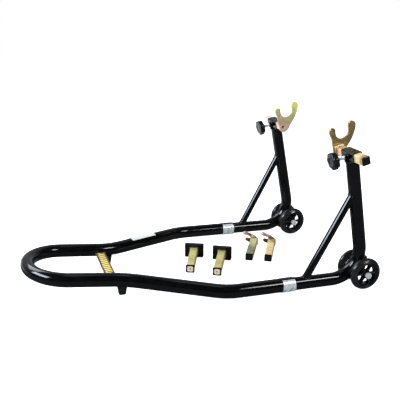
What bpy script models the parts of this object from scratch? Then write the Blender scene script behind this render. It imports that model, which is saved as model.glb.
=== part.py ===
"""Motorcycle paddock stand with its two fork adapters fitted and four spare adapters laid on the floor.

Metres, +Z up, +X from the handle towards the wheels, +Y to the left of someone who stands at the handle and
faces the wheels. The origin is on the floor, under the middle of the stand.
"""

import math

import bmesh
import bpy
from mathutils import Matrix, Vector

SIDES = {"left": 1, "right": -1}
GAP = 0.0003  # between solids that touch on the real object
OVERCUT = 0.010  # how far a cutter runs on past the face it opens

# Main U-shaped tube: half gauges and heights of its centre line, from the handle to the rear joint
RAIL_RADIUS = 0.016
RAIL_WALL = 0.0023
HANDLE_X = -0.3816
HANDLE_HALF = 0.0881
HANDLE_Z = 0.0546
FRONT_BEND = Vector((-0.1773, 0.0941, 0.0345))
REAR_BEND = Vector((0.0297, 0.1967, 0.0232))
HANDLE_RADIUS = 0.087
FRONT_BEND_RADIUS = 0.140
REAR_BEND_RADIUS = 0.110
JOINT_X = 0.1919  # where the rear leg tube meets the main tube

# Rear leg tube, bent up into the upright
LEG_RADIUS = 0.015
LEG_BORE = 0.0113
LEG_CORNER = Vector((0.3697, 0.1940, 0.0212))
LEG_BEND_RADIUS = 0.066
SPIGOT_RADIUS = 0.0132
SPIGOT_LENGTH = 0.042
SPIGOT_ROOT = 0.006  # how far the spigot's solid runs into the leg
BRACE_RADIUS = 0.00875
BRACE_BORE = 0.00695
BRACE_FOOT_X = 0.2145
BRACE_TOP_Z = 0.2335

# Head on top of each upright: a square sleeve across it, tilted back about Y
HEAD = Vector((0.3104, 0.1997, 0.3165))
HEAD_TILT = math.radians(14.0)
SLEEVE_SIDE = 0.0238
SLEEVE_BORE = 0.0198
SLEEVE_LENGTH = 0.050
SLEEVE_EDGE = 0.0025
ADAPTER_SIDE = 0.019
ADAPTER_WALL = 0.0018
ADAPTER_EDGE = 0.0015
FORK_FACE = 0.0519  # from the sleeve's middle in to the back of the fork plate
FORK_THICKNESS = 0.006
FORK_HOLE = 0.0035  # radius of the fork's vent hole, which opens into the adapter tube
FORK_HOLE_AT = (-0.0040, -0.0010)  # from the tube's middle
ADAPTER_OUT = 0.0560  # from the sleeve's middle out to the end of the adapter tube
CAP_THICKNESS = 0.003
CAP_STEM = 0.0148
CAP_STEM_LENGTH = 0.010

# Clamp screw of each sleeve
NUT_RADIUS = 0.007
NUT_LENGTH = 0.008
STUD_RADIUS = 0.004
STUD_BORE = 0.0043
STUD_TIP_GAP = 0.0001  # between the stud's tip and the plane of the sleeve's bore
STUD_END = -0.0506
KNOB_RADIUS = 0.020
KNOB_THICKNESS = 0.014
KNOB_EDGE = 0.002
KNOB_OUT = 0.0466  # from the sleeve's middle to the knob's middle
KNOB_LOBES = 7
KNOB_WAVE = 0.0011  # half the depth of the hollows between the lobes
KNOB_HUB_RADIUS = 0.009
KNOB_HUB_HALF = 0.004

# Wheels in pairs, one each side of each leg
AXLE = Vector((0.3600, 0.1925, 0.0380))
WHEEL_OFFSET = 0.0288
TYRE_RADIUS = 0.0380
TYRE_WIDTH = 0.022
TYRE_CROWN = 0.0099  # how far the tread falls away to the flanks
RIM_RADIUS = 0.0270
RIM_WIDTH = 0.022  # over the ends of the hub
RIM_FACE = 0.0130  # between the flat faces of the spokes
HUB_RADIUS = 0.0095
SPOKES = 6
SPOKE_HALF = 0.0022
WINDOW_INNER = 0.0115
WINDOW_OUTER = 0.0220
AXLE_RADIUS = 0.004
AXLE_BORE = 0.0043
BOLT_HEAD_RADIUS = 0.0075
BOLT_HEAD_HEIGHT = 0.0053
NUT_HEIGHT = 0.0065
BOLT_TAIL = 0.0075  # past the rim's face, through the nut
BUSH_RADIUS = 0.008
BRACKET_THICKNESS = 0.008

# Feet, strap and labels
FOOT_X = -0.1841
FOOT_TOP = 0.0235
FOOT_BOTTOM = 0.0150
FOOT_CORNER = 0.001
FOOT_DEPTH = 0.012
FOOT_HEIGHT = 0.022
FOOT_SCREW_HOLE = 0.0026
FOOT_HEAD_SEAT_RADIUS = 0.0042
FOOT_HEAD_SEAT = 0.006
SCREW_HEAD_RADIUS = 0.0038
SCREW_HEAD_HEIGHT = 0.0025
SCREW_RADIUS = 0.0022
SCREW_REACH = 0.004  # past the rail's underside, into its hollow
STRAP_X = -0.2041
STRAP_WIDTH = 0.024
STRAP_TOP = 0.0365
STRAP_THICKNESS = 0.003
STRAP_LABEL = (0.016, 0.138)
LABEL_THICKNESS = 0.0005
RAIL_LABEL_FROM_X = -0.1176
RAIL_LABEL_TO_X = -0.0496
RAIL_LABEL_HALF = 38.0  # degrees each way from the top of the rail
BAND_FROM_JOINT = (0.0333, 0.0023)  # where it starts and ends, back from the joint
BAND_WALL = 0.0006

# Spare adapters on the floor: where the end of the tube rests, and its heading
PAD_TUBE = 0.100
PAD_END_WALL = 0.003
PAD_END_HOLE = 0.002
PAD_COLLAR = (0.0216, 0.0030, 0.0206)
PAD_COLLAR_BORE = 0.0196
PAD_COLLAR_MIDDLE = Vector((0.0, 0.0025, 0.0003))
PAD_PLATE = (0.0472, 0.0040, 0.0350)
PAD_RUBBER = (0.0490, 0.0070, 0.0355)
PAD_RUBBER_RAISE = 0.0004  # of the pad's middle over the plate's
PAD_EDGE = 0.004
PAD_LIFT = 0.0005  # of the tube's end, whose collar is what meets the floor
PADS = {"pad_adapter_a": ((-0.0023, -0.0240), -23.0), "pad_adapter_b": ((0.0549, -0.0585), -26.6)}
HOOK_TUBE = 0.118
HOOK_THICKNESS = 0.006
HOOKS = {"hook_adapter_a": ((0.1654, 0.0082), -29.0), "hook_adapter_b": ((0.2093, -0.0118), -29.0)}

COLOURS = {
    "black_paint": ((0.012, 0.012, 0.013), 0.0, 0.22),
    "yellow_zinc": ((0.62, 0.52, 0.22), 1.0, 0.34),
    "bright_zinc": ((0.66, 0.68, 0.70), 1.0, 0.30),
    "black_plastic": ((0.016, 0.016, 0.018), 0.0, 0.42),
    "black_rubber": ((0.020, 0.020, 0.021), 0.0, 0.62),
    "foil": ((0.74, 0.78, 0.80), 0.9, 0.28),
    "white_label": ((0.86, 0.86, 0.86), 0.0, 0.45),
    "gold_label": ((0.78, 0.62, 0.20), 0.2, 0.40),
}


# Scene helpers


def clear_scene():
    for obj in list(bpy.data.objects):
        bpy.data.objects.remove(obj, do_unlink=True)


def make_collection(name, hidden=False):
    collection = bpy.data.collections.new(name)
    collection.hide_render = hidden
    bpy.context.scene.collection.children.link(collection)
    return collection


def make_materials():
    made = {}
    for name, (colour, metallic, roughness) in COLOURS.items():
        material = bpy.data.materials.new(name)
        material.use_nodes = True
        shader = material.node_tree.nodes["Principled BSDF"]
        shader.inputs["Base Color"].default_value = (*colour, 1.0)
        shader.inputs["Metallic"].default_value = metallic
        shader.inputs["Roughness"].default_value = roughness
        made[name] = material
    return made


def empty(name, location, rotation=(0.0, 0.0, 0.0), parent=None):
    obj = bpy.data.objects.new(name, None)
    obj.location = location
    obj.rotation_euler = rotation
    obj.parent = parent
    PARTS.objects.link(obj)
    return obj


def part(name, mesh, slot, location=(0.0, 0.0, 0.0), rotation=(0.0, 0.0, 0.0), parent=None):
    """The named sub-part that shows this mesh in its own material."""
    obj = bpy.data.objects.new(name, mesh)
    obj.location = location
    obj.rotation_euler = rotation
    obj.parent = parent
    mesh.materials.clear()
    mesh.materials.append(MATERIALS[slot])
    mesh.shade_smooth()
    mesh.set_sharp_from_angle(angle=math.radians(35.0))
    PARTS.objects.link(obj)
    return obj


def cutter(name, mesh, location=(0.0, 0.0, 0.0), rotation=(0.0, 0.0, 0.0), parent=None):
    """A hidden helper for a Boolean."""
    obj = bpy.data.objects.new(name, mesh)
    obj.location = location
    obj.rotation_euler = rotation
    obj.parent = parent
    obj.hide_render = True
    obj.display_type = "WIRE"
    CUTTERS.objects.link(obj)
    return obj


def combine(target, tool, operation):
    modifier = target.modifiers.new(f"{operation.lower()} {tool.name}", "BOOLEAN")
    modifier.operation = operation
    modifier.solver = "EXACT"
    modifier.object = tool


# Mesh helpers


def box(size, centre=(0.0, 0.0, 0.0), round_edge=0.0):
    """A box mesh, with its edges along Y rounded when round_edge is given."""
    shape = bmesh.new()
    bmesh.ops.create_cube(shape, size=1.0, matrix=Matrix.Translation(centre) @ Matrix.Diagonal((*size, 1.0)))
    if round_edge:
        along_y = [e for e in shape.edges if abs((e.verts[0].co - e.verts[1].co).normalized().y) > 0.9]
        bmesh.ops.bevel(shape, geom=along_y, offset=round_edge, segments=2, profile=0.5, affect="EDGES")
    mesh = bpy.data.meshes.new("box")
    shape.to_mesh(mesh)
    shape.free()
    return mesh


def rod(radius, start, end, segments=20):
    """A cylinder mesh between two points."""
    start, end = Vector(start), Vector(end)
    along = end - start
    turn = along.to_track_quat("Z", "Y").to_matrix().to_4x4()
    shape = bmesh.new()
    bmesh.ops.create_cone(
        shape,
        cap_ends=True,
        segments=segments,
        radius1=radius,
        radius2=radius,
        depth=along.length,
        matrix=Matrix.Translation((start + end) / 2) @ turn,
    )
    mesh = bpy.data.meshes.new("rod")
    shape.to_mesh(mesh)
    shape.free()
    return mesh


def mesh_of_curve(curve):
    """The mesh of a curve, with its caps welded on."""
    holder = bpy.data.objects.new(curve.name, curve)
    bpy.context.scene.collection.objects.link(holder)
    graph = bpy.context.evaluated_depsgraph_get()
    mesh = bpy.data.meshes.new_from_object(holder.evaluated_get(graph))
    bpy.data.objects.remove(holder, do_unlink=True)
    shape = bmesh.new()
    shape.from_mesh(mesh)
    bmesh.ops.remove_doubles(shape, verts=shape.verts, dist=1e-6)
    shape.to_mesh(mesh)
    shape.free()
    return mesh


def tube(points, radius, resolution=6):
    """A solid round bar that follows the points."""
    curve = bpy.data.curves.new("tube", "CURVE")
    curve.dimensions = "3D"
    curve.bevel_depth = radius
    curve.bevel_resolution = resolution
    curve.use_fill_caps = True
    spline = curve.splines.new("POLY")
    spline.points.add(len(points) - 1)
    for place, point in zip(spline.points, points):
        place.co = (*point, 1.0)
    return mesh_of_curve(curve)


def flat_outline(splines, thickness, edge=0.0):
    """A plate in the XZ plane, centred on Y, from closed splines. A spline is (kind, points)."""
    curve = bpy.data.curves.new("outline", "CURVE")
    curve.dimensions = "2D"
    curve.fill_mode = "BOTH"
    curve.extrude = thickness / 2 - edge
    curve.bevel_depth = edge
    curve.bevel_resolution = 1
    curve.resolution_u = 3
    for kind, points in splines:
        spline = curve.splines.new(kind)
        spline.use_cyclic_u = True
        if kind == "BEZIER":
            spline.bezier_points.add(len(points) - 1)
            for place, point in zip(spline.bezier_points, points):
                place.co = (*point, 0.0)
                place.handle_left_type = "AUTO"
                place.handle_right_type = "AUTO"
        else:
            spline.points.add(len(points) - 1)
            for place, point in zip(spline.points, points):
                place.co = (*point, 0.0, 1.0)
    mesh = mesh_of_curve(curve)
    mesh.transform(Matrix.Rotation(math.radians(90.0), 4, "X"))
    return mesh


def circle(radius, count, centre=(0.0, 0.0)):
    steps = [2 * math.pi * i / count for i in range(count)]
    return [(centre[0] + radius * math.cos(a), centre[1] + radius * math.sin(a)) for a in steps]


def turned(profile, steps):
    """The mesh of a closed profile of (radius, y) points turned about the Y axis."""
    shape = bmesh.new()
    ring = [shape.verts.new((radius, y, 0.0)) for radius, y in profile]
    edges = [shape.edges.new((ring[i - 1], ring[i])) for i in range(len(ring))]
    bmesh.ops.spin(
        shape,
        geom=ring + edges,
        cent=(0.0, 0.0, 0.0),
        axis=(0.0, 1.0, 0.0),
        angle=2 * math.pi,
        steps=steps,
        use_merge=True,
    )
    bmesh.ops.remove_doubles(shape, verts=shape.verts, dist=1e-6)
    bmesh.ops.recalc_face_normals(shape, faces=shape.faces)
    mesh = bpy.data.meshes.new("turned")
    shape.to_mesh(mesh)
    shape.free()
    return mesh


def fillet_path(corners, radii, step=math.radians(12.0)):
    """Points along straight runs joined by round bends. radii holds one value for each inner corner."""
    path = [Vector(corners[0])]
    for before, corner, after, radius in zip(corners, corners[1:], corners[2:], radii):
        back = (before - corner).normalized()
        ahead = (after - corner).normalized()
        bend = math.pi - back.angle(ahead)
        reach = radius * math.tan(bend / 2)
        centre = corner + (back + ahead).normalized() * radius / math.cos(bend / 2)
        spoke = corner + back * reach - centre
        axis = back.cross(ahead)
        count = max(3, math.ceil(bend / step))
        for i in range(count + 1):
            path.append(centre + Matrix.Rotation(-bend * i / count, 3, axis) @ spoke)
    path.append(Vector(corners[-1]))
    return path


def mirrored(point, side):
    return Vector((point.x, point.y * side, point.z))


def along(start, end, **fixed):
    """The point of a straight run at a given x or z."""
    name, value = next(iter(fixed.items()))
    share = (value - getattr(start, name)) / (getattr(end, name) - getattr(start, name))
    return start.lerp(end, share)


# Frame


def rail_path(end):
    """Centre line of the main tube, from its left end round the handle to its right end."""
    handle = Vector((HANDLE_X, HANDLE_HALF, HANDLE_Z))
    half = [end, REAR_BEND, FRONT_BEND, handle]
    corners = half + [mirrored(point, -1) for point in reversed(half)]
    radii = [REAR_BEND_RADIUS, FRONT_BEND_RADIUS, HANDLE_RADIUS]
    return fillet_path(corners, radii + radii[::-1])


def leg_path(start_x, side):
    start = along(REAR_BEND, LEG_CORNER, x=start_x)
    corners = [mirrored(point, side) for point in (start, LEG_CORNER, HEAD)]
    return fillet_path(corners, [LEG_BEND_RADIUS])


def make_main_tube():
    end = along(REAR_BEND, LEG_CORNER, x=JOINT_X)
    beyond = along(REAR_BEND, LEG_CORNER, x=JOINT_X + OVERCUT)
    rail = part("main_tube", tube(rail_path(end), RAIL_RADIUS), "black_paint")
    bore = cutter("main_tube_bore", tube(rail_path(beyond), RAIL_RADIUS - RAIL_WALL))
    combine(rail, bore, "DIFFERENCE")
    for name, side in SIDES.items():
        under = mirrored(rail_over(FOOT_X), side)
        hole = rod(FOOT_SCREW_HOLE, under, under - Vector((0.0, 0.0, 2 * RAIL_RADIUS)), 12)
        combine(rail, cutter(f"foot_screw_hole_{name}", hole), "DIFFERENCE")


def rail_over(x):
    """The centre of the left straight run between the handle and the front bend."""
    return along(FRONT_BEND, Vector((HANDLE_X, HANDLE_HALF, HANDLE_Z)), x=x)


def make_leg(name, side):
    leg = part(f"leg_tube_{name}", tube(leg_path(JOINT_X + GAP, side), LEG_RADIUS), "black_paint")
    ends = [JOINT_X - SPIGOT_LENGTH, JOINT_X + SPIGOT_ROOT]
    inside = [mirrored(along(REAR_BEND, LEG_CORNER, x=end), side) for end in ends]
    combine(leg, cutter(f"spigot_{name}", rod(SPIGOT_RADIUS, *inside, 16)), "UNION")
    bore = tube(leg_path(JOINT_X - SPIGOT_LENGTH - OVERCUT, side), LEG_BORE, 3)
    combine(leg, cutter(f"leg_bore_{name}", bore), "DIFFERENCE")
    room = 4 * LEG_RADIUS
    above_seat = box((room, room, room), (0.0, 0.0, room / 2 - SLEEVE_SIDE / 2 - GAP))
    seat = cutter(f"sleeve_seat_{name}", above_seat, mirrored(HEAD, side), (0.0, -HEAD_TILT, 0.0))
    combine(leg, seat, "DIFFERENCE")
    return cutter(f"leg_clearance_{name}", tube(leg_path(JOINT_X + GAP, side), LEG_RADIUS + GAP))


def make_brace(name, side, clearance):
    foot = mirrored(along(REAR_BEND, LEG_CORNER, x=BRACE_FOOT_X), side)
    top = mirrored(along(LEG_CORNER, HEAD, z=BRACE_TOP_Z), side)
    brace = part(f"brace_{name}", rod(BRACE_RADIUS, foot, top, 16), "black_paint")
    run = (top - foot).normalized() * OVERCUT
    combine(brace, cutter(f"brace_bore_{name}", rod(BRACE_BORE, foot - run, top + run, 12)), "DIFFERENCE")
    combine(brace, clearance, "DIFFERENCE")


def make_joint_band(name, side):
    start, end = (along(REAR_BEND, LEG_CORNER, x=JOINT_X - back) for back in BAND_FROM_JOINT)
    middle = (start + end) / 2
    half = (end - start).length / 2
    inner = RAIL_RADIUS + GAP
    outer = inner + BAND_WALL
    profile = [(inner, -half), (outer, -half), (outer, half), (inner, half)]
    mesh = turned(profile, 24)
    heading = mirrored(end, side) - mirrored(start, side)
    turn = heading.to_track_quat("Y", "Z").to_euler()
    part(f"joint_band_{name}", mesh, "foil", mirrored(middle, side), turn)


# Feet, strap and labels


def make_foot(name, side, clearance):
    centre = mirrored(rail_over(FOOT_X), side)
    half = [
        (FOOT_BOTTOM / 2 - FOOT_CORNER, 0.0),
        (FOOT_BOTTOM / 2 + FOOT_CORNER, 2 * FOOT_CORNER),
        (FOOT_TOP / 2, FOOT_HEIGHT),
    ]
    outline = [(-x, z) for x, z in reversed(half)] + half
    mesh = flat_outline([("POLY", outline)], FOOT_DEPTH)
    foot = part(f"foot_{name}", mesh, "black_rubber", (centre.x, centre.y, 0.0))
    combine(foot, clearance, "DIFFERENCE")
    below = Vector((centre.x, centre.y, -OVERCUT))
    head_seat = Vector((centre.x, centre.y, FOOT_HEAD_SEAT))
    seat_cut = rod(FOOT_HEAD_SEAT_RADIUS, below, head_seat, 16)
    combine(foot, cutter(f"foot_head_seat_{name}", seat_cut), "DIFFERENCE")
    hole = rod(FOOT_SCREW_HOLE, below, centre, 12)
    combine(foot, cutter(f"foot_hole_{name}", hole), "DIFFERENCE")
    seat = FOOT_HEAD_SEAT - GAP
    head = rod(SCREW_HEAD_RADIUS, (0.0, 0.0, seat - SCREW_HEAD_HEIGHT), (0.0, 0.0, seat), 16)
    screw = part(f"foot_screw_{name}", head, "bright_zinc", (centre.x, centre.y, 0.0))
    top = centre.z - RAIL_RADIUS + SCREW_REACH
    shank = rod(SCREW_RADIUS, (0.0, 0.0, seat - SCREW_HEAD_HEIGHT / 2), (0.0, 0.0, top), 12)
    combine(screw, cutter(f"foot_shank_{name}", shank, (centre.x, centre.y, 0.0)), "UNION")


def make_strap(clearance):
    low = STRAP_TOP - STRAP_THICKNESS / 2
    reach = 2 * HANDLE_HALF
    bar = box((STRAP_WIDTH, reach, STRAP_THICKNESS))
    strap = part("cross_strap", bar, "bright_zinc", (STRAP_X, 0.0, low))
    combine(strap, clearance, "DIFFERENCE")
    height = STRAP_TOP + GAP + LABEL_THICKNESS / 2
    label = box((*STRAP_LABEL, LABEL_THICKNESS))
    part("strap_label", label, "gold_label", (STRAP_X, 0.0, height))


def make_rail_label():
    """Curved label along the top of the left sloping run of the main tube."""
    start = along(FRONT_BEND, REAR_BEND, x=RAIL_LABEL_FROM_X)
    end = along(FRONT_BEND, REAR_BEND, x=RAIL_LABEL_TO_X)
    length = (end - start).length
    radius = RAIL_RADIUS + GAP
    shape = bmesh.new()
    angles = [math.radians(90.0 + RAIL_LABEL_HALF * i / 4) for i in range(-4, 5)]
    inner = [shape.verts.new((radius * math.cos(a), 0.0, radius * math.sin(a))) for a in angles]
    edges = [shape.edges.new(pair) for pair in zip(inner, inner[1:])]
    grown = bmesh.ops.extrude_edge_only(shape, edges=edges)
    moved = [item for item in grown["geom"] if isinstance(item, bmesh.types.BMVert)]
    bmesh.ops.translate(shape, verts=moved, vec=(0.0, length, 0.0))
    mesh = bpy.data.meshes.new("rail_label")
    shape.to_mesh(mesh)
    shape.free()
    turn = (end - start).to_track_quat("Y", "Z").to_euler()
    label = part("rail_label", mesh, "white_label", start, turn)
    shell = label.modifiers.new("thickness", "SOLIDIFY")
    shell.thickness = LABEL_THICKNESS
    shell.offset = 1.0


# Heads


def make_head(name, side):
    """The sleeve and its weld nut on the frame, and an empty for each moving group."""
    head = empty(f"head_{name}", mirrored(HEAD, side), (0.0, -HEAD_TILT, 0.0))
    sleeve = part(
        f"sleeve_{name}",
        box((SLEEVE_SIDE, SLEEVE_LENGTH, SLEEVE_SIDE), round_edge=SLEEVE_EDGE),
        "black_paint",
        parent=head,
    )
    through = box((SLEEVE_BORE, SLEEVE_LENGTH + 2 * OVERCUT, SLEEVE_BORE))
    combine(sleeve, cutter(f"sleeve_bore_{name}", through, parent=head), "DIFFERENCE")
    face = -SLEEVE_SIDE / 2 - GAP
    drill = rod(STUD_BORE, (face - NUT_LENGTH - OVERCUT, 0, 0), (-SLEEVE_BORE / 4, 0, 0), 16)
    hole = cutter(f"stud_hole_{name}", drill, parent=head)
    combine(sleeve, hole, "DIFFERENCE")
    nut_mesh = rod(NUT_RADIUS, (face - NUT_LENGTH, 0, 0), (face, 0, 0), 24)
    nut = part(f"clamp_nut_{name}", nut_mesh, "black_paint", parent=head)
    combine(nut, hole, "DIFFERENCE")
    make_clamp_screw(name, head)
    make_fork_adapter(name, side, head)


def make_clamp_screw(name, head):
    tip = -SLEEVE_BORE / 2 + STUD_TIP_GAP
    stud = rod(STUD_RADIUS, (STUD_END, 0, 0), (tip, 0, 0), 16)
    part(f"clamp_stud_{name}", stud, "bright_zinc", parent=head)
    wave = [2 * math.pi * i / (6 * KNOB_LOBES) for i in range(6 * KNOB_LOBES)]
    reach = [KNOB_RADIUS - KNOB_EDGE - KNOB_WAVE * (1 - math.cos(KNOB_LOBES * a)) for a in wave]
    lobes = [(r * math.cos(a), r * math.sin(a)) for r, a in zip(reach, wave)]
    mesh = flat_outline([("POLY", lobes)], KNOB_THICKNESS, KNOB_EDGE)
    mesh.transform(Matrix.Rotation(math.radians(90.0), 4, "Z"))
    mesh.transform(Matrix.Translation((-KNOB_OUT, 0.0, 0.0)))
    knob = part(f"clamp_knob_{name}", mesh, "black_plastic", parent=head)
    face = -KNOB_OUT + KNOB_THICKNESS / 2
    hub = rod(KNOB_HUB_RADIUS, (face - KNOB_HUB_HALF, 0, 0), (face + KNOB_HUB_HALF, 0, 0), 20)
    combine(knob, cutter(f"knob_hub_{name}", hub, parent=head), "UNION")
    socket = rod(STUD_BORE, (STUD_END - GAP, 0, 0), (face + OVERCUT, 0, 0), 16)
    combine(knob, cutter(f"knob_socket_{name}", socket, parent=head), "DIFFERENCE")


def square_tube(name, start, end, slot, parent, closed_end=0.0):
    """A square tube along Y between start and end, open at start. closed_end leaves a wall at end."""
    length = end - start
    centre = (0.0, (start + end) / 2, 0.0)
    mesh = box((ADAPTER_SIDE, abs(length), ADAPTER_SIDE), centre, ADAPTER_EDGE)
    body = part(name, mesh, slot, parent=parent)
    inner = ADAPTER_SIDE - 2 * ADAPTER_WALL
    beyond = math.copysign(OVERCUT, length)
    low = start - beyond
    high = end - math.copysign(closed_end, length) if closed_end else end + beyond
    hollow = box((inner, abs(high - low), inner), (0.0, (low + high) / 2, 0.0))
    combine(body, cutter(f"{name}_bore", hollow, parent=parent), "DIFFERENCE")
    return body


def make_cap(name, end, outward, parent):
    """End cap of a square tube: a thin flange with a stem inside the tube."""
    face = end + outward * GAP
    middle = face + outward * CAP_THICKNESS / 2
    cap = part(
        name,
        box((ADAPTER_SIDE, CAP_THICKNESS, ADAPTER_SIDE), (0.0, middle, 0.0), ADAPTER_EDGE),
        "black_plastic",
        parent=parent,
    )
    stem_middle = middle - outward * CAP_STEM_LENGTH / 2
    stem = box((CAP_STEM, CAP_STEM_LENGTH, CAP_STEM), (0.0, stem_middle, 0.0))
    combine(cap, cutter(f"{name}_stem", stem, parent=parent), "UNION")


# Fork outline seen along Y, from the middle of the square tube, in millimetres: the left prong, the notch,
# the long right prong, and round below the tube
FORK_OUTLINE = (
    (-15.8, 3.0), (-18.8, 13.5), (-21.8, 25.5), (-28.0, 38.0), (-27.6, 46.0), (-21.4, 50.6), (-15.4, 47.2),
    (-14.2, 40.0), (-10.2, 31.4), (1.4, 26.0), (13.0, 30.2), (19.0, 38.0), (19.0, 46.0), (17.2, 56.5),
    (20.8, 64.0), (27.4, 66.2), (34.4, 61.2), (35.7, 52.5), (33.0, 38.0), (25.9, 20.0), (16.8, 5.0),
    (10.4, -8.0), (-0.6, -14.6), (-11.2, -10.4),
)


# Outline of the small fork of a hook adapter: the base, the lower prong, the slot and the upper prong
HOOK_OUTLINE = (
    (0.0, -9.0), (-8.5, -7.0), (-16.0, -3.0), (-23.0, 0.5), (-24.6, 4.6), (-20.6, 7.4), (-13.6, 6.4),
    (-9.8, 9.4), (-13.4, 13.0), (-20.8, 15.2), (-28.0, 17.2), (-30.4, 21.4), (-26.4, 24.8), (-16.0, 21.4),
    (-4.0, 17.0), (5.0, 11.6), (9.2, 4.0), (8.6, -4.4),
)


def make_fork_adapter(name, side, head):
    square_tube(f"adapter_tube_{name}", -side * (FORK_FACE - GAP), side * ADAPTER_OUT, "yellow_zinc", head)
    outline = [(x / 1000, z / 1000) for x, z in FORK_OUTLINE]
    hole = circle(FORK_HOLE, 12, FORK_HOLE_AT)
    mesh = flat_outline([("BEZIER", outline), ("POLY", hole)], FORK_THICKNESS)
    # The outline is upright, so it is turned back from the head's tilt.
    mesh.transform(Matrix.Rotation(HEAD_TILT, 4, "Y"))
    fork = part(f"fork_{name}", mesh, "yellow_zinc", parent=head)
    fork.location.y = -side * (FORK_FACE + FORK_THICKNESS / 2)
    make_cap(f"adapter_cap_{name}", side * ADAPTER_OUT, side, head)


# Wheels


# Outline of the axle lug seen along Y, from the axle, in millimetres. Its left side runs inside the leg.
LUG_OUTLINE = (
    (-1.7, -14.2), (8.0, -13.7), (13.5, -5.7), (16.0, 7.3), (18.5, 23.3), (17.2, 31.8), (12.5, 32.3),
    (-1.7, 17.3), (-17.7, -2.7), (-13.7, -13.2),
)


def make_axle_bracket(name, side, clearance):
    """Lug behind the bend of the leg, with the cross bush that holds the axle bolt."""
    place = mirrored(AXLE, side)
    outline = [(x / 1000, z / 1000) for x, z in LUG_OUTLINE]
    mesh = flat_outline([("POLY", outline)], BRACKET_THICKNESS)
    bracket = part(f"axle_bracket_{name}", mesh, "black_paint", place)
    half = WHEEL_OFFSET - RIM_WIDTH / 2 - GAP
    bush = rod(BUSH_RADIUS, (0, -half, 0), (0, half, 0), 20)
    combine(bracket, cutter(f"axle_bush_{name}", bush, place), "UNION")
    combine(bracket, clearance, "DIFFERENCE")
    hole = rod(AXLE_BORE, (0, -half - OVERCUT, 0), (0, half + OVERCUT, 0), 16)
    combine(bracket, cutter(f"axle_hole_{name}", hole, place), "DIFFERENCE")
    make_axle_bolt(name, side, place)


def make_axle_bolt(name, side, place):
    face = WHEEL_OFFSET + RIM_WIDTH / 2 + GAP
    head_end = face + BOLT_HEAD_HEIGHT
    inside_head = face + BOLT_HEAD_HEIGHT / 4
    shank = rod(AXLE_RADIUS, (0, -side * (face + BOLT_TAIL), 0), (0, side * inside_head, 0), 16)
    bolt = part(f"axle_bolt_{name}", shank, "bright_zinc", place)
    head = rod(BOLT_HEAD_RADIUS, (0, side * face, 0), (0, side * head_end, 0), 6)
    combine(bolt, cutter(f"bolt_head_{name}", head, place), "UNION")
    blank = rod(BOLT_HEAD_RADIUS, (0, -side * face, 0), (0, -side * (face + NUT_HEIGHT), 0), 6)
    nut = part(f"axle_nut_{name}", blank, "bright_zinc", place)
    far = face + NUT_HEIGHT + OVERCUT
    hole = rod(AXLE_BORE, (0, -far, 0), (0, far, 0), 16)
    combine(nut, cutter(f"nut_hole_{name}", hole, place), "DIFFERENCE")


def spoke_window(index):
    """The opening between two spokes, as a closed outline."""
    share = 2 * math.pi / SPOKES
    middle = share * (index + 0.5)
    points = []
    for radius, count, order in ((WINDOW_INNER, 3, 1), (WINDOW_OUTER, 5, -1)):
        half = share / 2 - SPOKE_HALF / radius
        steps = [middle + order * half * (2 * i / (count - 1) - 1) for i in range(count)]
        points += [(radius * math.cos(a), radius * math.sin(a)) for a in steps]
    return points


def tyre_profile():
    """Closed profile of (radius, y): a bead on the rim, and a tread that curves down to both flanks."""
    half = TYRE_WIDTH / 2
    steps = 6
    profile = [(RIM_RADIUS + GAP, half - 0.0006)]
    for i in range(2 * steps + 1):
        share = 1 - i / steps
        profile.append((TYRE_RADIUS - TYRE_CROWN * share ** 2, half * share))
    return profile + [(RIM_RADIUS + GAP, 0.0006 - half)]


def make_wheel(name, side, offset):
    place = mirrored(AXLE, side) + Vector((0.0, offset, 0.0))
    splines = [("POLY", circle(RIM_RADIUS, 40))]
    splines += [("POLY", spoke_window(i)) for i in range(SPOKES)]
    rim = part(f"wheel_rim_{name}", flat_outline(splines, RIM_FACE), "black_plastic", place)
    half = RIM_WIDTH / 2
    hub = cutter(f"wheel_hub_{name}", rod(HUB_RADIUS, (0, -half, 0), (0, half, 0), 20), place)
    combine(rim, hub, "UNION")
    drill = rod(AXLE_BORE, (0, -half - OVERCUT, 0), (0, half + OVERCUT, 0), 16)
    combine(rim, cutter(f"wheel_hole_{name}", drill, place), "DIFFERENCE")
    part(f"tyre_{name}", turned(tyre_profile(), 36), "black_rubber", place)


# Spare adapters


def make_pad_adapter(name, place, heading):
    """Square tube with a flat plate and a rubber pad, resting on the tube's end and on the plate's edge."""
    half = ADAPTER_SIDE / 2
    rise = math.atan((PAD_PLATE[2] / 2 - half) / (PAD_TUBE + PAD_PLATE[1]))
    base = empty(name, (*place, PAD_LIFT), (rise, 0.0, math.radians(heading)))
    axis = empty(f"{name}_axis", (0.0, 0.0, half), parent=base)
    body = square_tube(f"{name}_tube", PAD_TUBE, 0.0, "yellow_zinc", axis, closed_end=PAD_END_WALL)
    hole = rod(PAD_END_HOLE, (0, -OVERCUT, 0), (0, OVERCUT, 0), 12)
    combine(body, cutter(f"{name}_end_hole", hole, parent=axis), "DIFFERENCE")
    collar = part(f"{name}_collar", box(PAD_COLLAR, PAD_COLLAR_MIDDLE), "black_plastic", parent=axis)
    inside = box((PAD_COLLAR_BORE, 2 * OVERCUT, PAD_COLLAR_BORE))
    combine(collar, cutter(f"{name}_collar_bore", inside, parent=axis), "DIFFERENCE")
    back = PAD_TUBE + GAP
    plate = box(PAD_PLATE, (0.0, back + PAD_PLATE[1] / 2, 0.0), PAD_EDGE)
    part(f"{name}_plate", plate, "black_paint", parent=axis)
    back += PAD_PLATE[1] + GAP
    rubber = box(PAD_RUBBER, (0.0, back + PAD_RUBBER[1] / 2, PAD_RUBBER_RAISE), PAD_EDGE)
    part(f"{name}_rubber", rubber, "black_rubber", parent=axis)


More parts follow.
